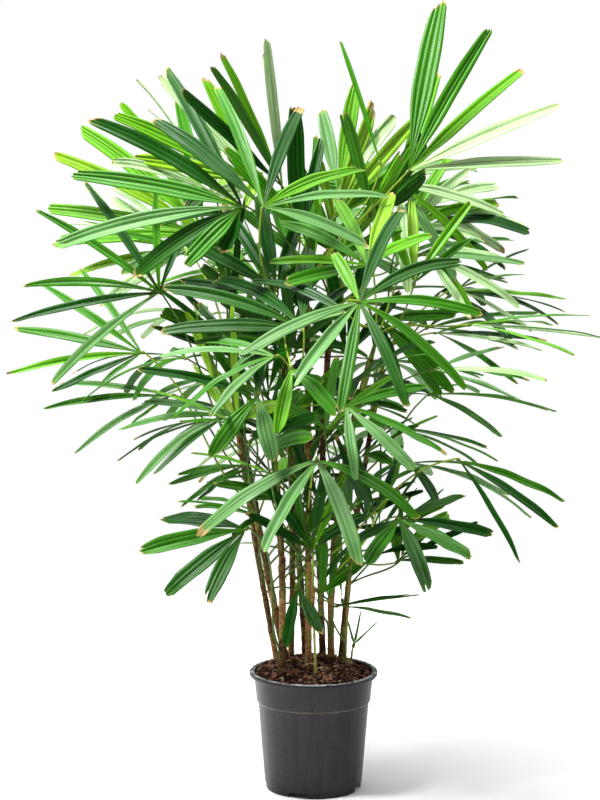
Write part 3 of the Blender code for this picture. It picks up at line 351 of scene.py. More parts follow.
def pot_profile():
    """The pot's section, out along the underside, up the wall, over the rim and down inside."""
    rim_foot = POT_HEIGHT - RIM_HEIGHT
    return (
        (0.0, 0.0),
        (PLINTH_RADIUS, 0.0),
        (PLINTH_RADIUS + PLINTH_FLARE, CHANNEL_HEIGHT),
        (SKIRT_RADIUS - WALL, CHANNEL_HEIGHT),
        (SKIRT_RADIUS - WALL, 0.0),
        (SKIRT_RADIUS, 0.0),
        (SKIRT_RADIUS, SKIRT_HEIGHT - EDGE_EASE / 2),
        (BODY_FOOT_RADIUS, SKIRT_HEIGHT),
        (BODY_TOP_RADIUS, COLLAR_FOOT - EDGE_EASE),
        (COLLAR_FOOT_RADIUS, COLLAR_FOOT),
        (COLLAR_TOP_RADIUS, rim_foot),
        (RIM_RADIUS - EDGE_EASE, rim_foot),
        (RIM_RADIUS, rim_foot + EDGE_EASE),
        (RIM_RADIUS, POT_HEIGHT - EDGE_EASE),
        (RIM_RADIUS - EDGE_EASE, POT_HEIGHT),
        (COLLAR_TOP_RADIUS + WALL / 2, POT_HEIGHT),
        (COLLAR_TOP_RADIUS - WALL, POT_HEIGHT - EDGE_EASE),
        (COLLAR_FOOT_RADIUS - WALL, COLLAR_FOOT + EDGE_EASE / 2),
        (BODY_TOP_RADIUS - WALL, COLLAR_FOOT - EDGE_EASE),
        (BODY_FOOT_RADIUS - WALL, CHANNEL_HEIGHT + FLOOR_THICKNESS),
        (PLINTH_RADIUS + PLINTH_FLARE - EDGE_EASE / 2, CHANNEL_HEIGHT + FLOOR_THICKNESS),
        (PLINTH_RADIUS - EDGE_EASE / 2, FLOOR_THICKNESS),
        (0.0, FLOOR_THICKNESS),
    )


def soil_profile():
    """The bark mix, clear of the pot's inside by the gap, with a level top where the canes stand."""
    foot = FLOOR_THICKNESS + GAP
    shy = WALL + 1.5 * GAP
    return (
        (0.0, foot),
        (PLINTH_RADIUS - EDGE_EASE / 2 - 1.5 * GAP, foot),
        (PLINTH_RADIUS + PLINTH_FLARE - EDGE_EASE / 2 - 1.5 * GAP, CHANNEL_HEIGHT + foot),
        (BODY_FOOT_RADIUS - shy, CHANNEL_HEIGHT + foot),
        (BODY_TOP_RADIUS - shy, COLLAR_FOOT - EDGE_EASE),
        (COLLAR_FOOT_RADIUS - shy, COLLAR_FOOT + EDGE_EASE / 2),
        (COLLAR_TOP_RADIUS - shy, SOIL_EDGE),
        (SOIL_FLAT_RADIUS, SOIL_TOP),
        (0.0, SOIL_TOP),
    )


def limb_faces(rings, sides):
    """The faces round rings of points that follow each other, with both ends closed."""
    last = (rings - 1) * sides
    return [
        list(reversed(range(sides))),
        *grid_quads(rings, sides, True).tolist(),
        list(range(last, last + sides)),
    ]


def box_points(centre, forward, half_sizes):
    """The eight corners and six faces of a box that looks along a level direction."""
    across = Vector((-forward.y, forward.x, 0.0))
    long, wide, high = half_sizes
    corners = []
    for level in (-1, 1):
        for along, aside in ((-1, -1), (1, -1), (1, 1), (-1, 1)):
            corners.append(centre + forward * (along * long) + across * (aside * wide) + UP * (level * high))
    faces = [(3, 2, 1, 0), (4, 5, 6, 7), (0, 1, 5, 4), (1, 2, 6, 5), (2, 3, 7, 6), (3, 0, 4, 7)]
    return corners, faces


def through_middle(start, middle, end, share):
    """A point on the quadratic curve that passes through the middle point half-way."""
    control = middle * 2.0 - (start + end) * 0.5
    first = start.lerp(control, share)
    second = control.lerp(end, share)
    return first.lerp(second, share)


def cane_point(cane, share):
    """A point on a cane's axis, from its foot at 0 to its top at 1, straight between the joints."""
    foot = Vector((*cane.foot, SOIL_TOP + GAP))
    before = min(int(share * CANE_SPANS), CANE_SPANS - 1)
    low = through_middle(foot, Vector(cane.middle), Vector(cane.top), before / CANE_SPANS)
    high = through_middle(foot, Vector(cane.middle), Vector(cane.top), (before + 1) / CANE_SPANS)
    return low.lerp(high, share * CANE_SPANS - before)


def flare_height(cane):
    """How high the widened foot of a cane reaches."""
    return min(FLARE_REACH, FLARE_REACH_SHARE * (cane.top[2] - SOIL_TOP))


def cane_radius(cane, share):
    """A cane's radius, which tapers evenly and flares at the foot."""
    height = cane_point(cane, share).z - SOIL_TOP
    flare = max(0.0, 1.0 - height / flare_height(cane))
    plain = cane.foot_radius + (cane.top_radius - cane.foot_radius) * share
    return plain * (1.0 + (FOOT_FLARE - 1.0) * flare)


def share_at_height(cane, height):
    """How far up a cane a height lies, by halving."""
    low = 0.0
    high = 1.0
    for _ in range(20):
        share = (low + high) / 2
        if cane_point(cane, share).z < height:
            low = share
        else:
            high = share
    return share


def tube(axis, radii, sides, level_foot=False, side=Vector((1.0, 0.0, 0.0))):
    """Points and faces of a tapered limb with flat ends, its first corner towards the side given."""
    verts = []
    for index, point in enumerate(axis):
        before = axis[max(index - 1, 0)]
        after = axis[min(index + 1, len(axis) - 1)]
        along = (after - before).normalized()
        if index == 0 and level_foot:
            along = UP
        side = (side - along * side.dot(along)).normalized()
        other = along.cross(side)
        for turn in range(sides):
            angle = 2.0 * math.pi * turn / sides
            verts.append(point + (side * math.cos(angle) + other * math.sin(angle)) * radii[index])
    return verts, limb_faces(len(axis), sides)


def cane_mesh(cane):
    """Points and faces of one cane."""
    shares = [0.0, share_at_height(cane, SOIL_TOP + flare_height(cane))]
    shares += [(index + 1) / CANE_SPANS for index in range(CANE_SPANS)]
    axis = [cane_point(cane, share) for share in shares]
    radii = [cane_radius(cane, share) for share in shares]
    return tube(axis, radii, CANE_SIDES, True)


def shaft_mesh(cane):
    """Points and faces of the short crown shaft that stands on a cane's flat top."""
    top = cane_point(cane, 1.0)
    along = (top - cane_point(cane, 0.95)).normalized()
    axis = [top + along * GAP, top + along * (GAP + SHAFT_SLENDER * cane.top_radius)]
    radii = [cane.top_radius * SHAFT_FOOT_SHARE, cane.top_radius * SHAFT_TIP_SHARE]
    return tube(axis, radii, CANE_SIDES)


def blade_frame(face):
    """The unit vectors across, up and out of a blade whose upper side looks a given way."""
    bearing, lift = face
    out = compass(bearing) * math.cos(math.radians(lift))
    out += UP * math.sin(math.radians(lift))
    across = compass(bearing + 90.0)
    return across, out.cross(across), out


def clock(frame, degrees):
    """The direction of a clock angle in a blade."""
    angle = math.radians(degrees)
    return frame[0] * math.cos(angle) + frame[1] * math.sin(angle)


def centre_line(start, direction, length, droop):
    """Points along a leaflet's rib that sets out in a direction and bends down under its weight."""
    points = [start.copy()]
    heading = direction.normalized()
    for _ in range(LINE_STEPS):
        heading = (heading - UP * (droop / LINE_STEPS)).normalized()
        points.append(points[-1] + heading * (length / LINE_STEPS))
    return points


class Leaflet(NamedTuple):
    """One leaflet: its rib, the direction across it at the root, its width and its length."""
    line: list
    across: Vector
    width: float
    length: float
    root_width: float
    twist: float


def rib_frame(leaflet, share):
    """The place, direction, across and up vectors at a share of a leaflet's length."""
    index = round(share * LINE_STEPS)
    before = leaflet.line[max(index - 1, 0)]
    after = leaflet.line[min(index + 1, LINE_STEPS)]
    along = (after - before).normalized()
    across = (leaflet.across - along * leaflet.across.dot(along)).normalized()
    up = along.cross(across)
    turn = leaflet.twist * share
    across = across * math.cos(turn) + up * math.sin(turn)
    return leaflet.line[index], along, across, along.cross(across)


def leaflet_space(leaflet, start_share):
    """A tree of the space that a leaflet keeps to itself, from a share of its length to its tip."""
    verts = []
    stations = [share for share in STATIONS if share > start_share]
    for share in [start_share] + stations:
        place, along, across, up = rib_frame(leaflet, share)
        wide = 1.0
        if share > STATIONS[1]:
            wide = STATION_WIDTH[STATIONS.index(share)]
        if share < STATIONS[1]:
            lead = leaflet.root_width / leaflet.width
            wide = lead + (1.0 - lead) * share / STATIONS[1]
        half = leaflet.width * wide / 2 + ENVELOPE
        drop = BLADE_THICKNESS * leaflet.length + ENVELOPE
        if share == 1.0:
            place = place + along * ENVELOPE
        verts += [place + across * half + up * ENVELOPE, place - across * half + up * ENVELOPE]
        verts += [place - across * half * 0.4 - up * drop, place + across * half * 0.4 - up * drop]
    return Space(verts, limb_faces(len(verts) // 4, 4))


class Space:
    """A closed shape with a box round it, for finding out what touches what."""

    def __init__(self, verts, faces):
        self.tree = BVHTree.FromPolygons([tuple(vert) for vert in verts], faces)
        self.low = [min(vert[axis] for vert in verts) for axis in range(3)]
        self.high = [max(vert[axis] for vert in verts) for axis in range(3)]

    def touches(self, other):
        """Whether this shape meets another."""
        for axis in range(3):
            if self.low[axis] > other.high[axis] or other.low[axis] > self.high[axis]:
                return False
        return bool(self.tree.overlap(other.tree))


def is_free(space, others):
    """Whether a shape meets none of the others."""
    return not any(space.touches(other) for other in others)


def fan_angles(frond, rng):
    """The clock angle of each leaflet, evenly dealt with a little play."""
    first, last = frond.fan
    if frond.count == 1:
        return [(first + last) / 2]
    step = (last - first) / (frond.count - 1)
    angles = []
    for index in range(frond.count):
        play = 0.0 if index in (0, frond.count - 1) else rng.uniform(-ANGLE_PLAY, ANGLE_PLAY)
        angles.append(first + step * (index + play))
    return angles


def stalk_curve(start, start_direction, end, end_direction, bow):
    """Points on a stalk that leaves a cane one way and reaches its blade another."""
    reach = (end - start).length * bow
    first = start + start_direction * reach
    second = end - end_direction * reach
    points = []
    for index in range(STALK_STEPS + 1):
        share = index / STALK_STEPS
        rest = 1.0 - share
        points.append(
            start * rest ** 3
            + first * (3 * rest * rest * share)
            + second * (3 * rest * share * share)
            + end * share ** 3
        )
    return points


def stalk_space(points, half):
    """A tree of the space that a stalk keeps to itself, square all along."""
    side = (points[-1] - points[0]).orthogonal().normalized()
    return Space(*tube(points, [half * CORNER_REACH] * len(points), 4, False, side))


class Plan(NamedTuple):
    """A frond with its place on a cane, its stalk and its leaflets; None where one is left out."""
    frond: Frond
    place: tuple
    stalk: list
    radial: Vector
    leaflets: list


def carrying_places(frond, bases):
    """Places that may carry a frond: a cane's number, the share of its height and the side, if set."""
    steps = range(ATTACH_STEPS + 1)
    if frond.cane >= 0:
        first = share_at_height(CANES[frond.cane], frond.height)
        return [(frond.cane, min(first + KNOWN_STEP * index, 1.0), None) for index in steps]
    tall = [number for number, cane in enumerate(CANES) if cane.top[2] >= TALL_CANE]
    if len(bases) >= BASE_LIMIT:
        return [(number, 1.0, None) for number in tall] + bases
    shares = [ATTACH_LOW + (1.0 - ATTACH_LOW) * index / ATTACH_STEPS for index in steps]
    return [(number, share, None) for number in tall for share in shares]


def attach_choices(frond, load, bases):
    """Places on the canes that could carry a frond, the best first: (cost, cane, share, side)."""
    hub = Vector(frond.hub)
    choices = []
    for index, (number, share, side) in enumerate(carrying_places(frond, bases)):
        place = cane_point(CANES[number], share)
        cost = attach_cost(hub - place) + CROWDING_COST * len(load[number])
        if side is not None:
            way = Vector((hub.x - place.x, hub.y - place.y, 0.0))
            cost += TURN_COST * (1.0 - way.normalized().dot(side))
        elif share < TUFT_SHARE:
            cost += sum(CLASH_COST for taken in load[number] if abs(taken - place.z) < CLASH_HEIGHT)
        else:
            cost -= TUFT_PULL
        if frond.cane >= 0:
            cost += KNOWN_COST * index
        choices.append((cost, number, share, side))
    choices.sort(key=lambda choice: choice[0])
    return choices


def attach_cost(way):
    """How badly a frond's hub lies to be carried from a place: too far, too near or too level."""
    reach = way.length
    near, far = EASY_REACH
    slope = abs(way.z / reach - EASY_RISE)
    return FAR_COST * max(0.0, reach - far) + NEAR_COST * max(0.0, near - reach) + SLOPE_COST * slope


class Stalk(NamedTuple):
    """A placed stalk: the place it shares, its whole space, and its space past the first stretch."""
    place: tuple
    whole: Space
    outer: Space


def hub_space(frond):
    """A tree of the space round the place where a frond's leaflets meet."""
    hub = Vector(frond.hub)
    poles = [hub + UP * (sign * HUB_SPACE) for sign in (-1, 1)]
    ring = [hub + compass(60.0 * turn) * HUB_SPACE for turn in range(6)]
    faces = []
    for turn in range(6):
        after = (turn + 1) % 6
        faces += [(0, 2 + after, 2 + turn), (1, 2 + turn, 2 + after)]
    return Space(poles + ring, faces)


def stalk_spaces(points, place):
    """The spaces of a stalk, and its space from just past its foot, to hold against its own cane."""
    half = STALK_HALF + STALK_ENVELOPE
    share = min(0.9, BASE_REACH / (points[1] - points[0]).length)
    trimmed = [points[0].lerp(points[1], share)] + points[1:]
    return Stalk(place, stalk_space(points, half), stalk_space(points[1:], half)), stalk_space(trimmed, half)


def clears_hubs(points, hub, hubs):
    """Whether a stalk passes the other fronds' hubs at a distance."""
    for other in hubs:
        if other == hub:
            continue
        centre = Vector(other)
        for start, end in zip(points, points[1:]):
            along = end - start
            share = max(0.0, min(1.0, (centre - start).dot(along) / along.length_squared))
            if (start + along * share - centre).length < HUB_CLEAR:
                return False
    return True


def plan_stalk(frond, placed, cane_spaces, load, bases, hubs):
    """A stalk from a cane to the hub that touches nothing, or None."""
    hub = Vector(frond.hub)
    frame = blade_frame(frond.face)
    middle = clock(frame, (frond.fan[0] + frond.fan[1]) / 2)
    end = hub - middle * (HUB_RADIUS * STALK_END)
    for _, number, share, shared in attach_choices(frond, load, bases)[:CHOICE_LIMIT]:
        cane = CANES[number]
        in_tuft = share > TUFT_SHARE
        place = (number, 1.0 if in_tuft else share)
        axis_point = cane_point(cane, share)
        above = cane_point(cane, min(share + CANE_STEP, 1.0))
        up = (above - cane_point(cane, share - CANE_STEP)).normalized()
        radial = hub - axis_point
        radial = (radial - up * radial.dot(up)).normalized() if shared is None else shared
        chord = (end - axis_point).normalized()
        for bow in STALK_BOWS:
            if in_tuft:
                rise = SHAFT_FIRST + SHAFT_STEP * (len(load[number]) % SHAFT_PLACES)
                start = axis_point + up * (GAP + SHAFT_SLENDER * cane.top_radius * rise)
                start_way = (up * 0.9 + radial * 0.25 + chord * 0.3).normalized()
            else:
                start = axis_point + radial * (cane_radius(cane, share) + GAP)
                start_way = (up * 0.75 + radial * 0.75 + chord * 0.4).normalized()
            end_way = (middle * 0.55 + chord * 0.75).normalized()
            points = stalk_curve(start, start_way, end, end_way, bow)
            if not clears_hubs(points, frond.hub, hubs):
                continue
            stalk, trimmed = stalk_spaces(points, place)
            near = [other.whole for other in placed if other.place != place]
            for key, spaces in cane_spaces.items():
                near += spaces if key != number else []
            own = cane_spaces[number][:1] if in_tuft else cane_spaces[number]
            if not is_free(stalk.whole, near) or not is_free(trimmed, own):
                continue
            if is_free(stalk.outer, [other.outer for other in placed if other.place == place]):
                return share, points, radial, stalk
    return None


def plan_leaflets(frond, others, own_stalk, rng):
    """The leaflets of a frond, each nudged until it touches nothing, else left out."""
    frame = blade_frame(frond.face)
    hub = Vector(frond.hub)
    angles = fan_angles(frond, rng)
    step = abs(frond.fan[1] - frond.fan[0]) / max(frond.count - 1, 1)
    half_gap = min(step / 2, WIDEST_ROOT)
    kept = []
    own_spaces = []
    for index, angle in enumerate(angles):
        from_middle = (index - (frond.count - 1) / 2) / max((frond.count - 1) / 2, 1)
        end = frond.ends[0] if from_middle < 0 else frond.ends[1]
        length = frond.length * (1.0 + (end - 1.0) * abs(from_middle) ** END_POWER)
        length *= rng.uniform(*LENGTH_PLAY)
        width = frond.width * rng.uniform(*WIDTH_PLAY)
        droop = frond.droop * rng.uniform(*DROOP_PLAY)
        twist = math.radians(rng.uniform(-TWIST_PLAY, TWIST_PLAY))
        lift = math.radians(LIFTS[index % 2] + rng.uniform(-LIFT_PLAY, LIFT_PLAY))
        low = angles[index] - half_gap if index == 0 else (angles[index - 1] + angle) / 2
        high = angle + half_gap if index == frond.count - 1 else (angle + angles[index + 1]) / 2
        spare = math.sin(math.radians(min(angle - low, high - angle)))
        width = min(width, 2.0 * NEIGHBOUR_SHARE * spare * (HUB_RADIUS + STATIONS[1] * length))
        first = hub + clock(frame, low) * HUB_RADIUS
        last = hub + clock(frame, high) * HUB_RADIUS
        found = None
        for turn, raise_by, shrink, sag in NUDGES:
            way = clock(frame, angle + turn)
            way = way * math.cos(lift + raise_by) + frame[2] * math.sin(lift + raise_by)
            trial = Leaflet(
                centre_line((first + last) / 2, way, length * shrink, droop + sag),
                (last - first).normalized(),
                width * min(1.0, shrink + 0.08),
                length * shrink,
                (last - first).length,
                twist,
            )
            if not is_free(leaflet_space(trial, ROOT_SPACE), others):
                continue
            inner = leaflet_space(trial, ROOT_CLEAR)
            if is_free(inner, own_spaces) and is_free(inner, [own_stalk]):
                found = trial
                own_spaces.append(inner)
                break
        kept.append(found)
    return kept


def nudges():
    """Turns, lifts, lengths and sags to try, the smallest change first."""
    tries = []
    for shrink in (1.0, 0.86):
        for raise_by in (0.0, 0.10, -0.10, 0.20, -0.20, 0.32, -0.32):
            for turn in (0.0, 5.0, -5.0, 9.0, -9.0):
                for sag in (0.0, 0.30, -0.25):
                    change = abs(turn) / 9.0 + abs(raise_by) * 6 + (1.0 - shrink) * 12 + abs(sag) * 2
                    tries.append((change, turn, raise_by, shrink, sag))
    tries.sort(key=lambda item: item[0])
    return [item[1:] for item in tries]


NUDGES = nudges()


def back_fronds():
    """Fronds round the back and sides, in the same egg-shaped crown as the front."""
    rng = random.Random(SEED)
    rows = []
    for index in range(BACK_COUNT):
        share = (index + 0.5) / BACK_COUNT
        height = BACK_LOW + (BACK_HIGH - BACK_LOW) * share
        bearing = BACK_FIRST_BEARING + (index * BACK_STEP) % BACK_BEARINGS
        reach = 0.30 * math.sin(math.pi * (0.20 + 0.62 * share)) + rng.uniform(-0.03, 0.03)
        place = compass(bearing) * reach + Vector((0.0, 0.03, height))
        lift = -8.0 + 62.0 * share ** 1.5 + rng.uniform(-8.0, 8.0)
        spread = rng.uniform(130.0, 190.0)
        rows.append(Frond(
            hub=tuple(place),
            face=(bearing + rng.uniform(-12.0, 12.0), 90.0 + lift),
            fan=(-90.0 - spread / 2, -90.0 + spread / 2),
            count=6,
            length=rng.uniform(0.220, 0.265),
            width=rng.uniform(0.029, 0.036),
            droop=rng.uniform(0.35, 0.75),
            tone=BACK_TONES[index % len(BACK_TONES)],
        ))
    return rows


def inner_fronds():
    """Short fronds close to the canes, all round."""
    rng = random.Random(SEED + 1)
    rows = []
    for index in range(INNER_COUNT):
        share = (index + 0.5) / INNER_COUNT
        bearing = (40.0 + index * GOLDEN_ANGLE) % 360.0
        height = INNER_LOW + (INNER_HIGH - INNER_LOW) * share
        place = compass(bearing) * INNER_REACH + UP * height
        rows.append(Frond(
            hub=tuple(place),
            face=(bearing, 90.0 + rng.uniform(25.0, 60.0)),
            fan=(-165.0, -20.0),
            count=5,
            length=rng.uniform(0.13, 0.175),
            width=rng.uniform(0.026, 0.033),
            droop=rng.uniform(0.3, 0.6),
            # Mostly the deep tone: painted shade inside the crown
            tone=("deep", "mid")[index % 2],
        ))
    return rows


def spaces_of_canes():
    """The space of each cane and of the crown shaft on its top, by the cane's number."""
    return {number: [Space(*cane_mesh(cane)), Space(*shaft_mesh(cane))] for number, cane in enumerate(CANES)}


def plan_crown():
    """Every frond of the frame with its stalk and leaflets, the spaces they fill and their stalks."""
    rng = random.Random(SEED + 2)
    cane_spaces = spaces_of_canes()
    load = [[] for _ in CANES]
    bases = []
    fronds = OUTLINE_FRONDS + back_fronds() + inner_fronds()
    hubs = [frond.hub for frond in fronds]
    held = []
    placed = []
    for frond in fronds:
        found = plan_stalk(frond, placed, cane_spaces, load, bases, hubs)
        if found is None:
            continue
        share, points, radial, stalk = found
        number = stalk.place[0]
        load[number].append(cane_point(CANES[number], share).z)
        if share <= TUFT_SHARE and (number, share, radial) not in bases:
            bases.append((number, share, radial))
        placed.append(stalk)
        held.append((frond, stalk.place, points, radial))
    plans = []
    leaf_spaces = []
    solid_spaces = [space for spaces in cane_spaces.values() for space in spaces]
    hub_spaces = [hub_space(frond) for frond, _, _, _ in held]
    solid_spaces.append(Space(*turned(soil_profile(), TURNED_SIDES)))
    solid_spaces.append(Space(*turned(pot_profile(), TURNED_SIDES)))
    for index, (frond, place, points, radial) in enumerate(held):
        others = solid_spaces + leaf_spaces
        others += [stalk.whole for stalk in placed if stalk is not placed[index]]
        others += hub_spaces[:index] + hub_spaces[index + 1:]
        near = [other for other in others if close_to(other, frond)]
        leaflets = plan_leaflets(frond, near, placed[index].whole, rng)
        kept = [leaflet for leaflet in leaflets if leaflet is not None]
        leaf_spaces += [leaflet_space(leaflet, 0.0) for leaflet in kept]
        plans.append(Plan(frond, place, points, radial, leaflets))
    return plans, solid_spaces + hub_spaces + leaf_spaces, placed


def close_to(space, frond):
    """Whether a shape's box comes within a frond's reach."""
    reach = frond.length * NEAR_SHARE + HUB_CLEAR
    for axis in range(3):
        if space.low[axis] > frond.hub[axis] + reach or space.high[axis] < frond.hub[axis] - reach:
            return False
    return True


def growth_fronds():
    """Finer fronds among and close round the canes, upright or leaning out, with small ones low down."""
    rng = random.Random(SEED + 9)
    rows = []
    for index in range(SPROUT_COUNT):
        share = (index * GOLDEN_SHARE) % 1.0
        bearing = (70.0 + index * GOLDEN_ANGLE) % 360.0
        height = SPROUT_LOW + (SPROUT_HIGH - SPROUT_LOW) * share
        place = compass(bearing) * rng.uniform(*SPROUT_REACH) + Vector((-0.008, 0.01, height))
        middle = rng.uniform(60.0, 120.0)
        spread = rng.uniform(30.0, 90.0)
        rows.append(Frond(
            hub=tuple(place),
            face=(bearing + rng.uniform(-60.0, 60.0), rng.uniform(0.0, 30.0)),
            fan=(middle - spread / 2, middle + spread / 2),
            count=rng.randint(2, 4),
            length=rng.uniform(0.10, 0.17),
            width=rng.uniform(0.020, 0.028),
            droop=rng.uniform(0.05, 0.35),
            # Mostly the deep tone: painted shade low inside the crown
            tone=rng.choice(("deep", "deep", "mid")),
        ))
    for index in range(GROWTH_COUNT):
        share = (index * GOLDEN_SHARE) % 1.0
        bearing = (25.0 + index * GOLDEN_ANGLE) % 360.0
        height = GROWTH_LOW + (GROWTH_HIGH - GROWTH_LOW) * share
        reach = rng.uniform(*GROWTH_REACH)
        place = compass(bearing) * reach + Vector((-0.01, 0.02, height))
        upright = rng.random() < GROWTH_UPRIGHT
        spread = rng.uniform(60.0, 130.0)
        middle = 90.0 if upright else -90.0
        lift = rng.uniform(0.0, 35.0) if upright else rng.uniform(100.0, 140.0)
        rows.append(Frond(
            hub=tuple(place),
            face=(bearing + rng.uniform(-40.0, 40.0), lift),
            fan=(middle - spread / 2, middle + spread / 2),
            count=rng.randint(3, 5),
            length=rng.uniform(0.15, 0.25),
            width=rng.uniform(0.026, 0.038),
            droop=rng.uniform(0.10, 0.45),
            # Mostly the deep tone: painted shade inside the crown
            tone=rng.choice(("deep", "deep", "deep", "mid", "bright")),
        ))
    return rows


def plan_growth(spaces, placed):
    """The finer fronds that find room between the frame's own, kept clear of them and of each other."""
    rng = random.Random(SEED + 10)
    cane_spaces = spaces_of_canes()
    load = [[] for _ in CANES]
    plans = []
    for frond in growth_fronds():
        found = plan_stalk(frond, placed, cane_spaces, load, [], [])
        if found is None:
            continue
        _, points, radial, stalk = found
        near = [other for other in spaces + [kept.whole for kept in placed] if close_to(other, frond)]
        if not is_free(stalk.outer, near):
            continue
        leaflets = plan_leaflets(frond, near, stalk.whole, rng)
        kept = [leaflet for leaflet in leaflets if leaflet is not None]
        if len(kept) < 2:
            continue
        load[stalk.place[0]].append(points[0].z)
        placed = placed + [stalk]
        spaces = spaces + [leaflet_space(leaflet, 0.0) for leaflet in kept] + [hub_space(frond)]
        plans.append(Plan(frond, stalk.place, points, radial, leaflets))
    return plans


class Pieces:
    """Points and faces of many small things that are joined into one piece."""

    def __init__(self):
        self.places = []
        self.quads = []
        self.triangles = []
        self.marks = []

    def add(self, places, quads, triangles=(), marks=None):
        """Take in one small thing; marks are three numbers for each of its points."""
        count = len(self.places)
        self.places += places.tolist()
        self.quads += (np.asarray(quads) + count).tolist()
        self.triangles += (np.asarray(triangles, dtype=int) + count).tolist()
        self.marks += (np.zeros(places.shape) if marks is None else marks).tolist()

    def add_sheet(self, grid, marks=None):
        """Take in a sheet of points in rows and columns."""
        flat_marks = None if marks is None else marks.reshape(-1, 3)
        self.add(grid.reshape(-1, 3), grid_quads(*grid.shape[:2]), marks=flat_marks)

    def build(self, name, finish, slot, stands_for, smooth_faces=True):
        """The joined piece, riding on the plant."""
        if not self.places:
            raise RuntimeError(f"{name} has nothing in it")
        made = add_object(name, self.places, self.quads + self.triangles, finish)
        made.data.validate()
        if smooth_faces:
            made.data.shade_smooth()
        marks = made.data.attributes.new("marks", "FLOAT_COLOR", "POINT")
        colours = np.ones((len(self.marks), 4), dtype=np.float32)
        colours[:, :3] = self.marks
        marks.data.foreach_set("color", colours.ravel())
        return carried(made, stands_for)


def add_object(name, verts, faces, finish):
    """An object from points and faces, with its own material."""
    mesh = bpy.data.meshes.new(name)
    mesh.from_pydata(verts, [], faces)
    mesh.materials.append(finish)
    made = bpy.data.objects.new(name, mesh)
    bpy.context.scene.collection.objects.link(made)
    return made


def carried(made, stands_for):
    """A piece that goes with the plant and stands for nodes of the frame."""
    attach(made, BODY)
    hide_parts(*stands_for)
    return made


def grid_quads(rows, columns, closed=False):
    """The faces of a grid of points, row by row, open or closed across."""
    row = np.arange(rows - 1)[:, None]
    column = np.arange(columns if closed else columns - 1)[None, :]
    near = row * columns + column
    far = row * columns + (column + 1) % columns
    return np.stack([near, far, far + columns, near + columns], axis=-1).reshape(-1, 4)


def rounded(points, count):
    """A smooth path through a few points, as evenly parted points."""
    points = np.asarray(points, dtype=np.float64)
    ends = np.vstack([2 * points[0] - points[1], points, 2 * points[-1] - points[-2]])
    places = []
    for share in np.linspace(0.0, len(points) - 1, count):
        index = min(int(share), len(points) - 2)
        part = share - index
        before, start, end, after = ends[index:index + 4]
        places.append(
            0.5 * (
                2 * start
                + (end - before) * part
                + (2 * before - 5 * start + 4 * end - after) * part ** 2
                + (3 * start - before - 3 * end + after) * part ** 3
            )
        )
    return np.array(places)


def path_frames(path):
    """The directions along, across and up at each point of a path."""
    along = np.gradient(path, axis=0)
    along /= np.linalg.norm(along, axis=1)[:, None]
    across = np.empty_like(path)
    side = np.array((1.0, 0.12, 0.0))
    for index in range(len(path)):
        side = side - along[index] * side.dot(along[index])
        side /= np.linalg.norm(side)
        across[index] = side
    return along, across, np.cross(along, across)


def sweep(path, radii, sides, flat=1.0):
    """Points and faces of a round limb along a path, closed at both ends by a fan."""
    _, across, up = path_frames(path)
    angles = np.arange(sides) * (2 * math.pi / sides)
    ring = across[:, None, :] * np.cos(angles)[None, :, None]
    ring = ring + up[:, None, :] * (np.sin(angles) * flat)[None, :, None]
    places = path[:, None, :] + ring * np.asarray(radii)[:, None, None]
    places = np.vstack([places.reshape(-1, 3), path[:1], path[-1:]])
    quads = grid_quads(len(path), sides, True)
    corner = np.arange(sides)
    after = (corner + 1) % sides
    foot = np.stack([np.full(sides, len(places) - 2), after, corner], axis=-1)
    last = (len(path) - 1) * sides
    tip = np.stack([np.full(sides, len(places) - 1), last + corner, last + after], axis=-1)
    return places, quads, np.vstack([foot, tip])


def ease(values, low, high):
    """0 below low, 1 above high, smooth between."""
    share = np.clip((values - low) / (high - low), 0.0, 1.0)
    return share * share * (3.0 - 2.0 * share)


# Shader building

# Where the mix node keeps its share, its two colours and the mixed colour
MIX_INPUTS = (0, 6, 7)
MIX_OUTPUT = 2

# How often the veins of a leaflet change along it, and how far apart the veins of two leaflets are drawn
VEIN_BREAKS = 2.5
VEIN_CHANGE = 57.0


def feed(tree, value, target):
    """Give an input a number, a colour or another node's output."""
    if isinstance(value, bpy.types.NodeSocket):
        tree.links.new(value, target)
    else:
        target.default_value = value if isinstance(value, (int, float)) else (*value[:3], 1.0)


def math_node(tree, operation, first, second=None, clamp=False):
    """The result of a sum on numbers or sockets."""
    made = tree.nodes.new("ShaderNodeMath")
    made.operation = operation
    made.use_clamp = clamp
    feed(tree, first, made.inputs[0])
    if second is not None:
        feed(tree, second, made.inputs[1])
    return made.outputs[0]


def product(tree, first, second):
    """The product of two numbers or sockets."""
    return math_node(tree, "MULTIPLY", first, second)


def mix_colour(tree, share, first, second):
    """A mix of two colours, each a colour or a socket."""
    made = tree.nodes.new("ShaderNodeMix")
    made.data_type = "RGBA"
    for index, value in zip(MIX_INPUTS, (share, first, second)):
        feed(tree, value, made.inputs[index])
    return made.outputs[MIX_OUTPUT]


def laid(tree, under, mask, share, over):
    """A colour with another laid over it, as strong as a mask times a share."""
    return mix_colour(tree, product(tree, mask, share), under, over)


def clouds(tree, place, scale, detail=2.0, roughness=0.5):
    """Cloudy noise at a place."""
    made = tree.nodes.new("ShaderNodeTexNoise")
    tree.links.new(place, made.inputs["Vector"])
    for name, value in (("Scale", scale), ("Detail", detail), ("Roughness", roughness)):
        feed(tree, value, made.inputs[name])
    return made.outputs["Fac"]


def object_place(tree):
    """The place on the object, in metres."""
    return tree.nodes.new("ShaderNodeTexCoord").outputs["Object"]


def place_parts(tree):
    """The place on the object, split into X, Y and Z."""
    parts = tree.nodes.new("ShaderNodeSeparateXYZ")
    tree.links.new(object_place(tree), parts.inputs[0])
    return parts.outputs


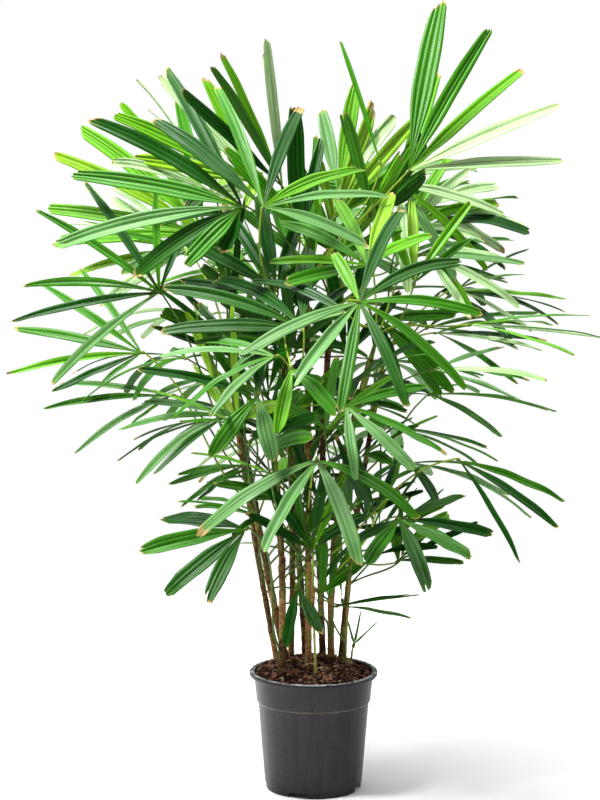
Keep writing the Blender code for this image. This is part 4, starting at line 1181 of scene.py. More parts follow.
def spread(tree, value, low, high, first=0.0, last=1.0):
    """A value mapped from one range to another and kept inside it."""
    made = tree.nodes.new("ShaderNodeMapRange")
    made.inputs["From Min"].default_value = low
    made.inputs["From Max"].default_value = high
    made.inputs["To Min"].default_value = first
    made.inputs["To Max"].default_value = last
    tree.links.new(value, made.inputs["Value"])
    return made.outputs["Result"]


def group_ends(group, inputs, outputs):
    """The sockets inside both ends of a shader group, whose inputs are named with their values."""
    for name, value in inputs.items():
        made = group.interface.new_socket(name=name, in_out="INPUT", socket_type="NodeSocketFloat")
        made.default_value = value
    for name in outputs:
        group.interface.new_socket(name=name, in_out="OUTPUT", socket_type="NodeSocketFloat")
    return group.nodes.new("NodeGroupInput").outputs, group.nodes.new("NodeGroupOutput").inputs


def build_blotches(group):
    """Soft light and dark patches through the piece."""
    enter, leave = group_ends(group, {"Scale": 40.0, "Detail": 4.0, "Contrast": 1.6}, ["Mask"])
    cloud = clouds(group, object_place(group), enter["Scale"], enter["Detail"])
    scaled = product(group, math_node(group, "SUBTRACT", cloud, 0.5), enter["Contrast"])
    feed(group, math_node(group, "ADD", scaled, 0.5, True), leave["Mask"])


def build_fibres(group):
    """Fine strands that run along the piece's height, with a few crossing them."""
    enter, leave = group_ends(group, {"Scale": 900.0, "Stretch": 0.06, "Crossing": 0.35}, ["Mask"])
    parts = place_parts(group)
    masks = []
    for squeezed_axes in ("Z", "XY"):
        join = group.nodes.new("ShaderNodeCombineXYZ")
        for axis in "XYZ":
            value = parts[axis]
            if axis in squeezed_axes:
                value = product(group, value, enter["Stretch"])
            feed(group, value, join.inputs[axis])
        masks.append(spread(group, clouds(group, join.outputs[0], enter["Scale"], 3.0, 0.6), 0.36, 0.64))
    crossing = product(group, masks[1], enter["Crossing"])
    feed(group, math_node(group, "MAXIMUM", masks[0], crossing), leave["Mask"])


def build_leaf_marks(group):
    """Fine veins along a leaflet, painted shade in the valleys between its pleats and a painted highlight
    along their crests, its own shade of green, and its root and tip.
    """
    outputs = ("Vein", "Valley", "Crest", "Shade", "Root", "Tip")
    enter, leave = group_ends(group, {"Veins": 60.0}, outputs)
    marks = group.nodes.new("ShaderNodeAttribute")
    marks.attribute_name = "marks"
    parts = group.nodes.new("ShaderNodeSeparateColor")
    feed(group, marks.outputs["Color"], parts.inputs["Color"])
    own, along, across = (parts.outputs[name] for name in ("Red", "Green", "Blue"))
    join = group.nodes.new("ShaderNodeCombineXYZ")
    feed(group, product(group, across, enter["Veins"]), join.inputs["X"])
    feed(group, product(group, along, VEIN_BREAKS), join.inputs["Y"])
    feed(group, product(group, own, VEIN_CHANGE), join.inputs["Z"])
    pleat = math_node(group, "FRACT", product(group, across, PLEAT_LIMIT))
    aside = math_node(group, "ABSOLUTE", math_node(group, "SUBTRACT", pleat, 0.5))
    feed(group, spread(group, clouds(group, join.outputs[0], 1.0), 0.35, 0.65), leave["Vein"])
    feed(group, spread(group, aside, 0.34, 0.49), leave["Valley"])
    feed(group, spread(group, aside, 0.26, 0.02), leave["Crest"])
    feed(group, own, leave["Shade"])
    feed(group, spread(group, along, 0.22, 0.0), leave["Root"])
    feed(group, spread(group, along, 0.90, 1.0), leave["Tip"])


def build_specks(group):
    """Scattered specks of dust, in patches."""
    enter, leave = group_ends(group, {"Scale": 500.0, "Size": 0.16}, ["Mask"])
    place = object_place(group)
    cells = group.nodes.new("ShaderNodeTexVoronoi")
    feed(group, place, cells.inputs["Vector"])
    feed(group, enter["Scale"], cells.inputs["Scale"])
    near = math_node(group, "LESS_THAN", cells.outputs["Distance"], enter["Size"])
    patches = spread(group, clouds(group, place, 24.0), 0.52, 0.66)
    feed(group, product(group, near, patches), leave["Mask"])


def build_pot_heights(group):
    """The top edge of the rim and the ledge under the collar, by height."""
    enter, leave = group_ends(group, {"Rim": 0.2, "Ledge": 0.1}, ("Rim", "Ledge"))
    height = place_parts(group)["Z"]
    above = math_node(group, "SUBTRACT", height, enter["Rim"])
    beside = math_node(group, "SUBTRACT", height, enter["Ledge"])
    feed(group, spread(group, above, 0.0, 0.0012), leave["Rim"])
    feed(group, spread(group, math_node(group, "ABSOLUTE", beside), 0.0022, 0.0006), leave["Ledge"])


def use_group(tree, name, build, **values):
    """A shader group, built once, placed in a material with its own values."""
    if name not in bpy.data.node_groups:
        build(bpy.data.node_groups.new(name, "ShaderNodeTree"))
    made = tree.nodes.new("ShaderNodeGroup")
    made.node_tree = bpy.data.node_groups[name]
    for key, value in values.items():
        made.inputs[key].default_value = value
    return made.outputs


def blotches(tree, scale, contrast):
    """The mask of soft patches in a material."""
    return use_group(tree, "Blotches", build_blotches, Scale=scale, Contrast=contrast)["Mask"]


def fibres(tree, scale, stretch, crossing):
    """The mask of fine strands in a material."""
    values = {"Scale": scale, "Stretch": stretch, "Crossing": crossing}
    return use_group(tree, "Fibres", build_fibres, **values)["Mask"]


def new_finish(name, roughness, specular=0.5):
    """A material with its shader, ready for its nodes."""
    made = bpy.data.materials.new(name)
    made.use_nodes = True
    tree = made.node_tree
    shader = tree.nodes["Principled BSDF"]
    shader.inputs["Roughness"].default_value = roughness
    shader.inputs["Specular IOR Level"].default_value = specular
    return made, tree, shader


def add_bump(tree, shader, height, distance, strength=1.0):
    """A bump from a height that is given in shares of a distance in metres."""
    bump = tree.nodes.new("ShaderNodeBump")
    bump.inputs["Distance"].default_value = distance
    bump.inputs["Strength"].default_value = strength
    tree.links.new(height, bump.inputs["Height"])
    tree.links.new(bump.outputs["Normal"], shader.inputs["Normal"])


def dress(tree, shader, colour, roughness):
    """Give a shader the colour and roughness that change over the surface."""
    feed(tree, colour, shader.inputs["Base Color"])
    feed(tree, roughness, shader.inputs["Roughness"])


def ranged(tree, mask, first, last):
    """A mask from 0 to 1, turned into a value between two others."""
    return spread(tree, mask, 0.0, 1.0, first, last)


def scaled_colour(colour, share):
    """A colour made darker or lighter."""
    return tuple(min(1.0, part * share) for part in colour[:3])


def shades(colour, dark, light):
    """A darker and a lighter shade of a colour."""
    return scaled_colour(colour, dark), scaled_colour(colour, light)


def warmed(colour, share):
    """A leaf colour made brighter and yellower."""
    red, green, blue = colour[:3]
    return (min(1.0, red * 1.5 + share), min(1.0, green * 1.3 + share), blue)


def paled_highlight(colour, share):
    """A leaf colour made lighter and a little whiter, as a painted highlight."""
    red, green, blue = colour[:3]
    white = 0.16 * green
    lighter = (red * share + white, green * share * 0.92, blue * share + 0.5 * white)
    return tuple(min(1.0, part) for part in lighter)


def leaf_finish(name, colour, underside, gloss):
    """A leaf skin with fine veins painted lighter and whiter, partly as a painted highlight, painted shade
    in the pleats' valleys, a painted highlight along their crests, a paler lower side that is partly painted
    light shining through, and a faintly yellow root.
    """
    made, tree, shader = new_finish(name, gloss, 0.17)
    marks = use_group(tree, "Leaf marks", build_leaf_marks, Veins=60.0)
    patches = blotches(tree, 26.0, 1.8)
    back = tree.nodes.new("ShaderNodeNewGeometry").outputs["Backfacing"]
    shade = math_node(tree, "ADD", product(tree, marks["Shade"], 0.6), product(tree, patches, 0.4))
    skin = mix_colour(tree, shade, *shades(colour, 0.60, 1.40))
    for mask, share, over in (
        # Veins are painted lighter and whiter: partly their own colour, partly a painted highlight
        (marks["Vein"], 0.34, paled_highlight(colour, 1.5)),
        # Painted highlight along the pleats' crests and painted shade in their valleys
        (marks["Crest"], 0.16, paled_highlight(colour, 1.6)),
        (marks["Valley"], 0.55, scaled_colour(colour, 0.30)),
        (marks["Root"], 0.45, warmed(colour, 0.04)),
        (marks["Tip"], 0.40, warmed(colour, 0.06)),
        # The back colour is partly the paler lower side and partly painted light shining through the leaflet
        (back, 0.12, underside),
    ):
        skin = laid(tree, skin, mask, share, over)
    rough = ranged(tree, patches, gloss - 0.07, gloss + 0.12)
    dress(tree, shader, skin, math_node(tree, "ADD", rough, product(tree, back, 0.15), True))
    add_bump(tree, shader, marks["Vein"], 0.00020, 0.45)
    return made


def plain_finish(name, dark, light, roughness, scale):
    """A rough natural finish between two colours."""
    made, tree, shader = new_finish(name, roughness, 0.14)
    patches = blotches(tree, scale, 1.8)
    rough = ranged(tree, patches, roughness, roughness - 0.12)
    dress(tree, shader, mix_colour(tree, patches, dark, light), rough)
    add_bump(tree, shader, patches, 0.0004)
    return made


def fibre_finish(name, dark, light, roughness, scale=900.0, green=None):
    """A fibrous finish: strands along the piece, over a darker or greener ground."""
    made, tree, shader = new_finish(name, roughness, 0.12)
    strands = fibres(tree, scale, 0.07, 0.45)
    ground = dark if green is None else mix_colour(tree, blotches(tree, 55.0, 3.6), dark, green)
    flecks = product(tree, blotches(tree, 170.0, 5.0), 0.60)
    worn = math_node(tree, "ADD", flecks, product(tree, strands, 0.40))
    rough = ranged(tree, strands, roughness, roughness - 0.15)
    dress(tree, shader, mix_colour(tree, worn, ground, light), rough)
    add_bump(tree, shader, strands, 0.0006)
    return made


def pot_finish(colour, gloss):
    """Black moulded plastic with a satin grain, faint flow bands, dust, a dusty ledge, and a rim edge
    painted pale, partly as wear and dust and partly as a painted highlight.
    """
    made, tree, shader = new_finish("pot_plastic", gloss, 0.26)
    bands = fibres(tree, 55.0, 0.05, 0.0)
    worn = blotches(tree, 120.0, 3.0)
    dust = use_group(tree, "Specks", build_specks, Scale=430.0, Size=0.17)
    marks = use_group(tree, "Pot heights", build_pot_heights, Rim=POT_HEIGHT - 0.0016, Ledge=COLLAR_FOOT)
    body = mix_colour(tree, bands, *shades(colour, 0.6, 1.9))
    for mask, share, over in (
        (fibres(tree, 320.0, 0.10, 0.3), 0.40, scaled_colour(colour, 2.3)),
        (dust["Mask"], 0.50, (0.30, 0.28, 0.25)),
        (marks["Ledge"], product(tree, worn, 0.55), (0.22, 0.17, 0.13)),
        # The near-white top edge of the rim is partly wear and dust, partly a painted highlight
        (marks["Rim"], product(tree, worn, 0.80), (0.84, 0.86, 0.92)),
    ):
        body = laid(tree, body, mask, share, over)
    dress(tree, shader, body, ranged(tree, bands, gloss - 0.04, gloss + 0.08))
    add_bump(tree, shader, blotches(tree, 1400.0, 1.5), 0.00008)
    return made


# The crown as it was planned

PLEAT_WIDTH = 0.0084
PLEAT_LIMIT = 6.0
PLEAT_COLUMNS = 4
SLIM_LOW = 0.66
SLIM_HIGH = 0.84
SLIM_BLADE = 0.019
SLIM_ENDS = (0.26, 0.42)
BROAD_ENDS = (0.46, 0.74)
FLATTEST_FOLD = 8.0
STEEPEST_FOLD = 36.0
ROW_SHARES = np.concatenate([
    np.linspace(0.0, 0.12, 4),
    np.linspace(0.12, 0.84, 12)[1:],
    np.array([0.875, 0.905, 0.932, 0.954, 0.972, 0.987, 1.0]),
])
INNER_SHARES = (0.22, 0.62)

# The tones of leaflets with the slot of each; a tone's first letter stands for it in the tables below
# Each tone is partly a leaflet's own green and partly painted light: lime, fresh and pale paint light
# falling on or shining through it, deep paints its shade and grey paints a glossy sheen
TONE_SLOTS = {
    "lime": "leaf_bright",
    "fresh": "leaf_bright",
    "mid": "leaf_mid",
    "deep": "leaf_deep",
    "blue": "leaf_deep",
    "grey": "leaf_grey",
    "pale": "leaf_pale",
}
TONE_LETTERS = {tone[0]: tone for tone in TONE_SLOTS}

# Letters that the falling and the rising leaflets of a frond are drawn from; the rising ones draw lighter
# letters, painted light from above
TONE_CHOICES = {
    "deep": ("ddddddmmmbb", "ddddddmmmf"),
    "mid": ("mmmmmddbg", "mmmfffffdd"),
    "bright": ("mmmmfffd", "fffffllllm"),
    "pale": ("ppppggggm", "ppppggffl"),
    "grey": ("ggggbbmmm", "gggmmmbb"),
}
RISING_SLOPE = 0.22
MAIN_TONE_SHARE = 0.55

# Rows of faces at a leaflet's end that may be dry, and how often
DRY_ROWS = (0, 1, 2, 4)
DRY_WEIGHTS = (40, 44, 10, 6)

# Tones of the leaflets of single fronds as the photograph shows them, by the angle of the leaflet
# These tones paint each leaflet's light and shade as well as its own green
LEAFLET_TONES = {
    0: "ppfmm", 1: "m", 2: "pgfppf", 3: "ppfmd", 4: "ddmgbmd", 5: "ggfdmd", 6: "fpfl", 7: "ddm",
    8: "fll", 9: "pfg", 10: "ggmbmmbdf", 11: "mdg", 12: "flfmfm", 13: "dbdbb", 14: "dmdmmdg",
    15: "mmmfdm", 16: "gmgm", 17: "bmgb", 18: "mg", 19: "dbd", 20: "dbd", 21: "mgmg", 22: "mfflff",
    23: "fmpflp", 24: "pfpf", 25: "ppfp", 26: "pfpgp", 28: "pfpf", 30: "fdpmf", 31: "mpdfg",
    35: "gpmg", 36: "ddm", 37: "bmbmdb", 38: "gggm", 39: "ggmm", 40: "fm", 41: "dmbb", 44: "db",
}

# Shares of the solid's length that some leaflets show, in the same order
LEAFLET_REACHES = {
    4: (1.0, 1.0, 1.0, 0.95, 0.80, 0.55, 0.50),
    10: (1.0, 0.85, 0.85, 0.9, 1.0, 0.9, 1.0, 1.0, 0.55),
}

# Shares of the solid's width that the leaflets of some fronds show, in the same order
LEAFLET_WIDTHS = {
    0: (0.70, 0.72, 0.68, 0.76, 1.0),
    37: (1.25, 1.25, 1.25, 1.25, 1.25, 1.25),
    38: (1.1, 1.1, 1.25, 1.1),
    41: (1.3, 1.3, 1.3, 1.3),
}


@lru_cache(maxsize=1)
def crown():
    """Each planned frond with the name of the frame's node that it belongs to."""
    names = {}
    count = 0
    members = []
    plans, spaces, placed = plan_crown()
    for plan in plans:
        number, share = plan.place
        if plan.place not in names:
            if share > TUFT_SHARE:
                names[plan.place] = f"tuft_{number + 1:02d}"
            else:
                count += 1
                names[plan.place] = f"frond_{count:02d}"
        members.append((names[plan.place], plan))
    known = {name for name in frame["nodes"] if name.startswith(("frond_", "tuft_"))}
    strange = sorted(known ^ set(names.values()))
    if strange:
        raise RuntimeError(f"the crown's nodes differ from the frame's: {strange}")
    for plan in plan_growth(spaces, placed):
        members.append((f"tuft_{plan.place[0] + 1:02d}", plan))
    return members


# Leaflets

def read_along(places, values, length=1.0):
    """Places or directions given at even steps along a length, read at other places on it."""
    steps = np.linspace(0.0, length, len(values))
    return np.stack([np.interp(places, steps, values[:, axis]) for axis in range(3)], axis=-1)


def tip_cut(width, across_share, aside, crest, pleats, rng):
    """How far each column of a leaflet falls short of its full length: a blunt, toothed, slanting end."""
    slant = rng.uniform(-0.32, 0.32) * width
    rounding = rng.uniform(0.15, 0.45) * width
    place = np.clip(across_share * pleats, 0, pleats - 1e-6)
    teeth = np.array([rng.uniform(0.0, 0.16) for _ in range(pleats)]) * width
    notches = np.array([rng.uniform(0.05, 0.24) for _ in range(pleats + 1)]) * width
    if rng.random() < 0.35:
        notches[rng.randrange(pleats + 1)] += 0.5 * width
    valley = notches[np.clip(np.round(place).astype(int), 0, pleats)]
    cut = teeth[place.astype(int)] * crest + valley * (1.0 - crest)
    cut = cut + rounding * np.abs(aside) ** 2.2 + slant * aside
    return cut - cut.min()


def slimmed(hub, rng):
    """How wide a leaflet shows beside the solid's: broad high in the crown, slim low at the sides."""
    high = ease(hub[2], 0.90, 1.10)
    aside = ease(abs(hub[0]), 0.14, 0.28) * (1.0 - high)
    return rng.uniform(SLIM_LOW, SLIM_HIGH) + 0.22 * high - 0.10 * aside


def blade_skin(leaflet, hub, depth, rng):
    """One pleated leaflet from the hub to its toothed tip: its points by row and column, and their marks."""
    width = leaflet.width * slimmed(hub, rng)
    pleats = max(2, min(4, round(width / PLEAT_WIDTH)))
    columns = pleats * PLEAT_COLUMNS + 1
    across_share = np.linspace(0.0, 1.0, columns)
    crest = np.abs(np.sin(np.pi * pleats * across_share))
    uneven = rng.uniform(-0.07, 0.07)
    aside = 1.0 - 2.0 * (across_share - uneven * np.sin(2 * np.pi * across_share))
    line = np.array(leaflet.line)
    along = np.gradient(line, axis=0)
    along /= np.linalg.norm(along, axis=1)[:, None]
    root_across = np.array(leaflet.across)
    across = root_across - along * (along @ root_across)[:, None]
    across /= np.linalg.norm(across, axis=1)[:, None]
    up = np.cross(along, across)
    turn = (leaflet.twist * np.linspace(0.0, 1.0, len(line)))[:, None]
    across, up = across * np.cos(turn) + up * np.sin(turn), up * np.cos(turn) - across * np.sin(turn)
    rows = ROW_SHARES[:, None]
    cut = tip_cut(width, across_share, aside, crest, pleats, rng)
    shares = rows - ease(rows, 0.72, 1.0) * cut[None, :] / leaflet.length
    end_share = rng.uniform(*(SLIM_ENDS if width < SLIM_BLADE else BROAD_ENDS))
    root = leaflet.root_width / width
    wide = root + (1.0 - root) * ease(shares, -0.04, rng.uniform(0.34, 0.50))
    wide = wide * (1.0 - (1.0 - end_share) * ease(shares, rng.uniform(0.60, 0.74), 1.10))
    half = wide * width / 2
    bend = rng.uniform(-0.035, 0.035) * leaflet.length
    steepest = STEEPEST_FOLD - 12.0 * ease(hub[2], 0.90, 1.10)
    fold = math.radians(rng.uniform(FLATTEST_FOLD, steepest))
    wave = rng.uniform(0.0004, 0.0018)
    beats = rng.uniform(1.2, 2.6)
    start = rng.random()
    curl = rng.uniform(-0.004, 0.014) * leaflet.length
    flat = np.abs(aside)[None, :]
    height = half * math.sin(fold) * (flat - 0.5)
    relief = depth * width * rng.uniform(0.7, 1.3)
    height = height + relief * (crest[None, :] - 0.5) * (0.55 + 0.45 * ease(shares, 0.0, 0.3))
    height = height + wave * flat * np.sin(2 * np.pi * (beats * shares + start)) * ease(shares, 0.1, 0.5)
    height = height - curl * ease(shares, 0.70, 1.0) ** 2
    side = read_along(shares, across)
    rise = read_along(shares, up)
    places = read_along(shares, line)
    places = places + side * (half * math.cos(fold) * aside[None, :] + bend * shares ** 2)[..., None]
    places = places + rise * height[..., None]
    centre = np.array(hub)
    inner = [centre + (places[0] - centre) * share for share in INNER_SHARES]
    places = np.concatenate([np.stack(inner), places])
    marks = np.zeros(places.shape)
    marks[..., 0] = rng.random()
    marks[len(INNER_SHARES):, :, 1] = shares
    marks[..., 2] = across_share[None, :] * pleats / PLEAT_LIMIT
    return places, marks


def shortened(leaflet, share):
    """A leaflet that ends after a share of its length."""
    line = np.array(leaflet.line)
    cut = read_along(np.linspace(0.0, share, len(line)), line)
    return leaflet._replace(line=[Vector(place) for place in cut], length=leaflet.length * share)


def deal_leaflets(depth):
    """The leaflets of every frond, dealt into a piece for each tone, with their dry tips apart."""
    pieces = {tone: Pieces() for tone in TONE_SLOTS}
    dry = Pieces()
    stands_for = {tone: set() for tone in TONE_SLOTS}
    rng = random.Random(SEED + 3)
    for name, plan in crown():
        choices = TONE_CHOICES[plan.frond.tone]
        mains = [rng.choices(letters)[0] for letters in choices]
        row = OUTLINE_FRONDS.index(plan.frond) if plan.frond in OUTLINE_FRONDS else None
        chosen = LEAFLET_TONES.get(row, "")
        reaches = LEAFLET_REACHES.get(row, ())
        widths = LEAFLET_WIDTHS.get(row, ())
        for index, leaflet in enumerate(plan.leaflets):
            if leaflet is None:
                continue
            # Leaflets that rise take the lighter letters: painted light from above
            rises = (leaflet.line[-1].z - leaflet.line[0].z) / leaflet.length > RISING_SLOPE
            letter = mains[rises] if rng.random() < MAIN_TONE_SHARE else rng.choices(choices[rises])[0]
            tone = TONE_LETTERS[chosen[index] if index < len(chosen) else letter]
            if index < len(reaches):
                leaflet = shortened(leaflet, reaches[index])
            if index < len(widths):
                leaflet = leaflet._replace(width=leaflet.width * widths[index])
            places, marks = blade_skin(leaflet, plan.frond.hub, depth, rng)
            green = len(places) - rng.choices(DRY_ROWS, DRY_WEIGHTS)[0]
            pieces[tone].add_sheet(places[:green], marks[:green])
            stands_for[tone].add(name)
            if green < len(places):
                dry.add_sheet(places[green - 1:], marks[green - 1:])
    return pieces, dry, stands_for


# Stalks, hubs and crown shafts

CLASP_LOW = 0.05
CLASP_HIGH = 0.15
STALK_RADIUS = 0.0023
KNOB_RADII = (0.0016, 0.0026, 0.0032, 0.0034, 0.0031, 0.0023, 0.0010)


def stalk_skins(plan, rng):
    """The round stalk of a frond and the knob where its leaflets meet."""
    hub = np.array(plan.frond.hub)
    blade = blade_frame(plan.frond.face)
    out = np.array(blade[2])
    middle = np.array(clock(blade, sum(plan.frond.fan) / 2))
    cane = CANES[plan.place[0]]
    height = cane.top[2] - SOIL_TOP
    length = min(rng.uniform(CLASP_LOW, CLASP_HIGH), 0.7 * height * plan.place[1])
    points = []
    for below in (1.0, 0.66, 0.36, 0.12):
        share = plan.place[1] - below * length / height
        sunk = cane_radius(cane, share) * (0.70 + 0.25 * (1 - below))
        points.append(cane_point(cane, share) + plan.radial * sunk)
    path = rounded([np.array(point) for point in points + plan.stalk] + [hub - out * 0.0012], 44)
    share = np.linspace(0.0, 1.0, len(path))
    radii = STALK_RADIUS * ease(share, -0.25, 0.30) - 0.0008 * share + 0.0006 * ease(share, 0.95, 1.0)
    line = hub[None, :] + middle[None, :] * np.linspace(-0.0075, 0.0045, 7)[:, None] - out[None, :] * 0.0004
    return sweep(path, radii, 8), sweep(line, np.array(KNOB_RADII), 8, 0.7)


def shaft_skins(number):
    """The overlapping sheaths that make the short crown shaft on a cane's top."""
    cane = CANES[number]
    verts, _ = shaft_mesh(cane)
    ring = np.array(verts)
    foot = ring[:CANE_SIDES].mean(axis=0)
    top = ring[CANE_SIDES:].mean(axis=0)
    share = np.linspace(0.0, 1.0, 26)
    path = foot + (top - foot) * share[:, None]
    radii = cane.top_radius * (SHAFT_FOOT_SHARE + (SHAFT_TIP_SHARE - SHAFT_FOOT_SHARE) * share)
    step = (share * 3.0) % 1.0
    radii = radii * (0.90 + 0.16 * step)
    radii[-1] *= 0.6
    return sweep(path, radii, 16)


# Canes

SHOOTS = (4, 7, 11)
DARK_CANES = (0, 5, 8, 10)
WRAPPED_FROM = {4: 0.62, 7: 0.50, 11: 2.0}
BARE_CANES = (1, 3, 6, 9)
STEM_STEP = 0.0032
WRAP_STEP = 0.004
RING_REACH = 0.0028
RING_RISE = 0.00045
RING_DIP = 0.00025
RING_SPACING = (0.020, 0.036)
STEM_SHARE = 0.90
WRAP_SHARE = 0.94
SHEATH_GAP = 0.00022
SHEATH_SIDES = 26
LOOSE_SHARE = 0.55
STREAK = 0.00022
STRAND_WIDTH = 0.00042
STRAND_POINTS = 5


def cane_line(cane, spacing):
    """Places up a cane's middle at even steps, with the height share of each."""
    joints = np.array([cane_point(cane, index / CANE_SPANS) for index in range(CANE_SPANS + 1)])
    count = max(8, int(np.linalg.norm(joints[-1] - joints[0]) / spacing))
    return rounded(joints, count), np.linspace(0.0, 1.0, count)


def stem_skin(cane, rng):
    """A cane's stem with its leaf-scar rings and slight unevenness, up from the mix."""
    path, share = cane_line(cane, STEM_STEP)
    radii = np.array([cane_radius(cane, value) for value in share]) * STEM_SHARE
    heights = path[:, 2]
    ring_height = heights[0] + rng.uniform(0.008, 0.02)
    while ring_height < heights[-1]:
        near = (heights - ring_height) / RING_REACH
        radii = radii + RING_RISE * np.exp(-near ** 2) - RING_DIP * np.exp(-(near - 1.8) ** 2)
        ring_height += rng.uniform(*RING_SPACING)
    radii = radii * (1.0 + 0.03 * np.sin(heights * 61.0 + rng.uniform(0, 6)))
    return sweep(path, radii, 18)


def sheath_skin(path, radii, low, rows, rng):
    """A rolled fibrous sheath that hugs a cane, and the ways out from its slanting frayed top."""
    _, across, up = path_frames(path)
    angles = np.arange(SHEATH_SIDES + 1) * (2 * math.pi / SHEATH_SIDES)
    slant = rng.uniform(0, 2 * math.pi)
    reach = 0.74 + 0.26 * np.cos(angles - slant)
    for index in range(SHEATH_SIDES):
        reach[index] += rng.uniform(-0.06, 0.05) + (0.14 if rng.random() < 0.16 else 0.0)
    reach[-1] = reach[0]
    share = np.linspace(0.0, 1.0, 14)
    place = low + np.clip(reach[None, :] * share[:, None], 0, 1) * rows
    place = np.clip(place, 0, len(path) - 1)
    centre, side, rise = (read_along(place, values, len(path) - 1) for values in (path, across, up))
    outward = side * np.cos(angles)[None, :, None] + rise * np.sin(angles)[None, :, None]
    roll = 0.00045 * np.cos(angles - slant - 0.7)
    swell = rng.uniform(0.0003, 0.0008)
    flare = rng.uniform(0.0001, 0.0009)
    radius = np.interp(place, np.arange(len(path)), radii) + SHEATH_GAP
    radius = radius + (swell + roll[None, :]) * share[:, None]
    radius = radius + flare * ease(share, 0.8, 1.0)[:, None]
    streak = np.array([rng.uniform(-STREAK, STREAK) for _ in range(SHEATH_SIDES)] + [0.0])
    streak[-1] = streak[0]
    radius = radius + streak[None, :]
    return centre + outward * radius[..., None], outward[-1]


def strand(start, way, length, sag, rng, width=STRAND_WIDTH):
    """A thin flat fibre that leaves a place in a direction and curves."""
    turn = Vector((rng.uniform(-1, 1), rng.uniform(-1, 1), rng.uniform(-1, 1))) * 0.35
    places = []
    place = Vector(start)
    heading = Vector(way).normalized()
    for index in range(STRAND_POINTS):
        side = heading.cross(Vector((0.3, -0.8, 0.5))).normalized() * width * (1.0 - 0.17 * index) / 2
        places += [place + side, place - side]
        heading = (heading + turn * 0.3 - UP * sag).normalized()
        place = place + heading * (length / (STRAND_POINTS - 1))
    return np.array(places), grid_quads(STRAND_POINTS, 2)


def sheath_kind(number, share, rng):
    """Light fibre low on most canes and here and there, dark fibre above."""
    light = 0.75 if share < rng.uniform(0.10, 0.34) else 0.25
    if number in DARK_CANES:
        light *= 0.45
    return "sheaths" if number in SHOOTS or rng.random() < light else "dark_sheaths"


def dress_canes():
    """Stems, sheaths and loose fibres of every cane, each kind apart."""
    kinds = {name: Pieces() for name in ("old_stems", "green_stems", "sheaths", "dark_sheaths", "fibres")}
    rng = random.Random(SEED + 5)
    for number, cane in enumerate(CANES):
        young = number in SHOOTS
        kinds["green_stems" if young else "old_stems"].add(*stem_skin(cane, rng))
        path, share = cane_line(cane, WRAP_STEP)
        radii = np.array([cane_radius(cane, value) for value in share]) * WRAP_SHARE
        start = int(WRAPPED_FROM.get(number, 0.02) * len(path))
        while start < len(path) - 6:
            rows = rng.randint(11, 19)
            if young:
                rows = rng.randint(7, 10)
            places, outward = sheath_skin(path, radii, start, min(rows, len(path) - 2 - start), rng)
            kinds[sheath_kind(number, start / len(path), rng)].add_sheet(places)
            for index in range(0, len(outward) - 1, 2):
                if rng.random() < LOOSE_SHARE:
                    way = Vector(outward[index]) * rng.uniform(0.02, 0.55) + UP
                    length = rng.uniform(0.006, 0.026)
                    kinds["fibres"].add(*strand(places[-1, index], way, length, 0.05, rng))
            start += rng.randint(11, 24) if number in BARE_CANES else rng.randint(6, 12)
    return kinds


# Pot

LIP_EASE = 0.0016
SHARP_ANGLE = 35.0


def eased_section(profile, ease_by, steps=4):
    """A section with each of its corners rounded by a short curve; its two ends stay."""
    corners = [np.array(corner, dtype=np.float64) for corner in profile]
    points = [corners[0]]
    for before, corner, after in zip(corners, corners[1:], corners[2:]):
        back = before - corner
        on = after - corner
        reach = min(ease_by, np.linalg.norm(back) * 0.42, np.linalg.norm(on) * 0.42)
        first = corner + back / np.linalg.norm(back) * reach
        last = corner + on / np.linalg.norm(on) * reach
        for index in range(steps + 1):
            share = index / steps
            points.append(first * (1 - share) ** 2 + corner * 2 * share * (1 - share) + last * share ** 2)
    points.append(corners[-1])
    return [tuple(point) for point in points]


def pot_cutters(finish):
    """The boxes that cut the notches and the rods that cut the drain holes, in a collection."""
    shapes = []
    for index in range(NOTCH_COUNT):
        forward = compass(NOTCH_COMPASS + 360.0 * index / NOTCH_COUNT)
        half_sizes = (4.0 * WALL, NOTCH_WIDTH / 2, NOTCH_HEIGHT)
        shapes.append(box_points(forward * SKIRT_RADIUS, forward, half_sizes))
    top = SKIRT_HEIGHT * 2
    rod, rod_faces = turned(((0.0, 0.0), (DRAIN_RADIUS, 0.0), (DRAIN_RADIUS, top), (0.0, top)), DRAIN_SIDES)
    for index in range(DRAIN_COUNT):
        centre = compass(NOTCH_COMPASS + 360.0 * (index + 0.5) / DRAIN_COUNT) * DRAIN_RING
        shapes.append(([vert + centre for vert in rod], rod_faces))
    cutters = bpy.data.collections.new("pot_cutters")
    bpy.context.scene.collection.children.link(cutters)
    for index, shape in enumerate(shapes):
        cutter = add_object(f"cutter_{index}", *shape, finish)
        bpy.context.scene.collection.objects.unlink(cutter)
        cutters.objects.link(cutter)
    return cutters


def build_pot(finish):
    """The moulded pot with its rolled lip, collar, notched skirt and drain holes."""
    pot = add_object("nursery_pot", *turned(eased_section(pot_profile(), LIP_EASE), POT_SIDES), finish)
    cutters = pot_cutters(finish)
    cut = pot.modifiers.new("cuts", "BOOLEAN")
    cut.operation = "DIFFERENCE"
    cut.operand_type = "COLLECTION"
    cut.collection = cutters
    graph = bpy.context.evaluated_depsgraph_get()
    pot.data = bpy.data.meshes.new_from_object(pot.evaluated_get(graph))
    pot.modifiers.clear()
    for cutter in list(cutters.objects):
        bpy.data.objects.remove(cutter)
    bpy.data.collections.remove(cutters)
    pot.data.shade_smooth()
    pot.data.set_sharp_from_angle(angle=math.radians(SHARP_ANGLE))
    return carried(pot, ["pot"])


# Bark mix

MIX_SIDES = 120
MIX_RINGS = 34
CHIP_WEIGHTS = (52, 34, 14)
STRAWS_PER_CANE = 7
LOOSE_STRAWS = 100


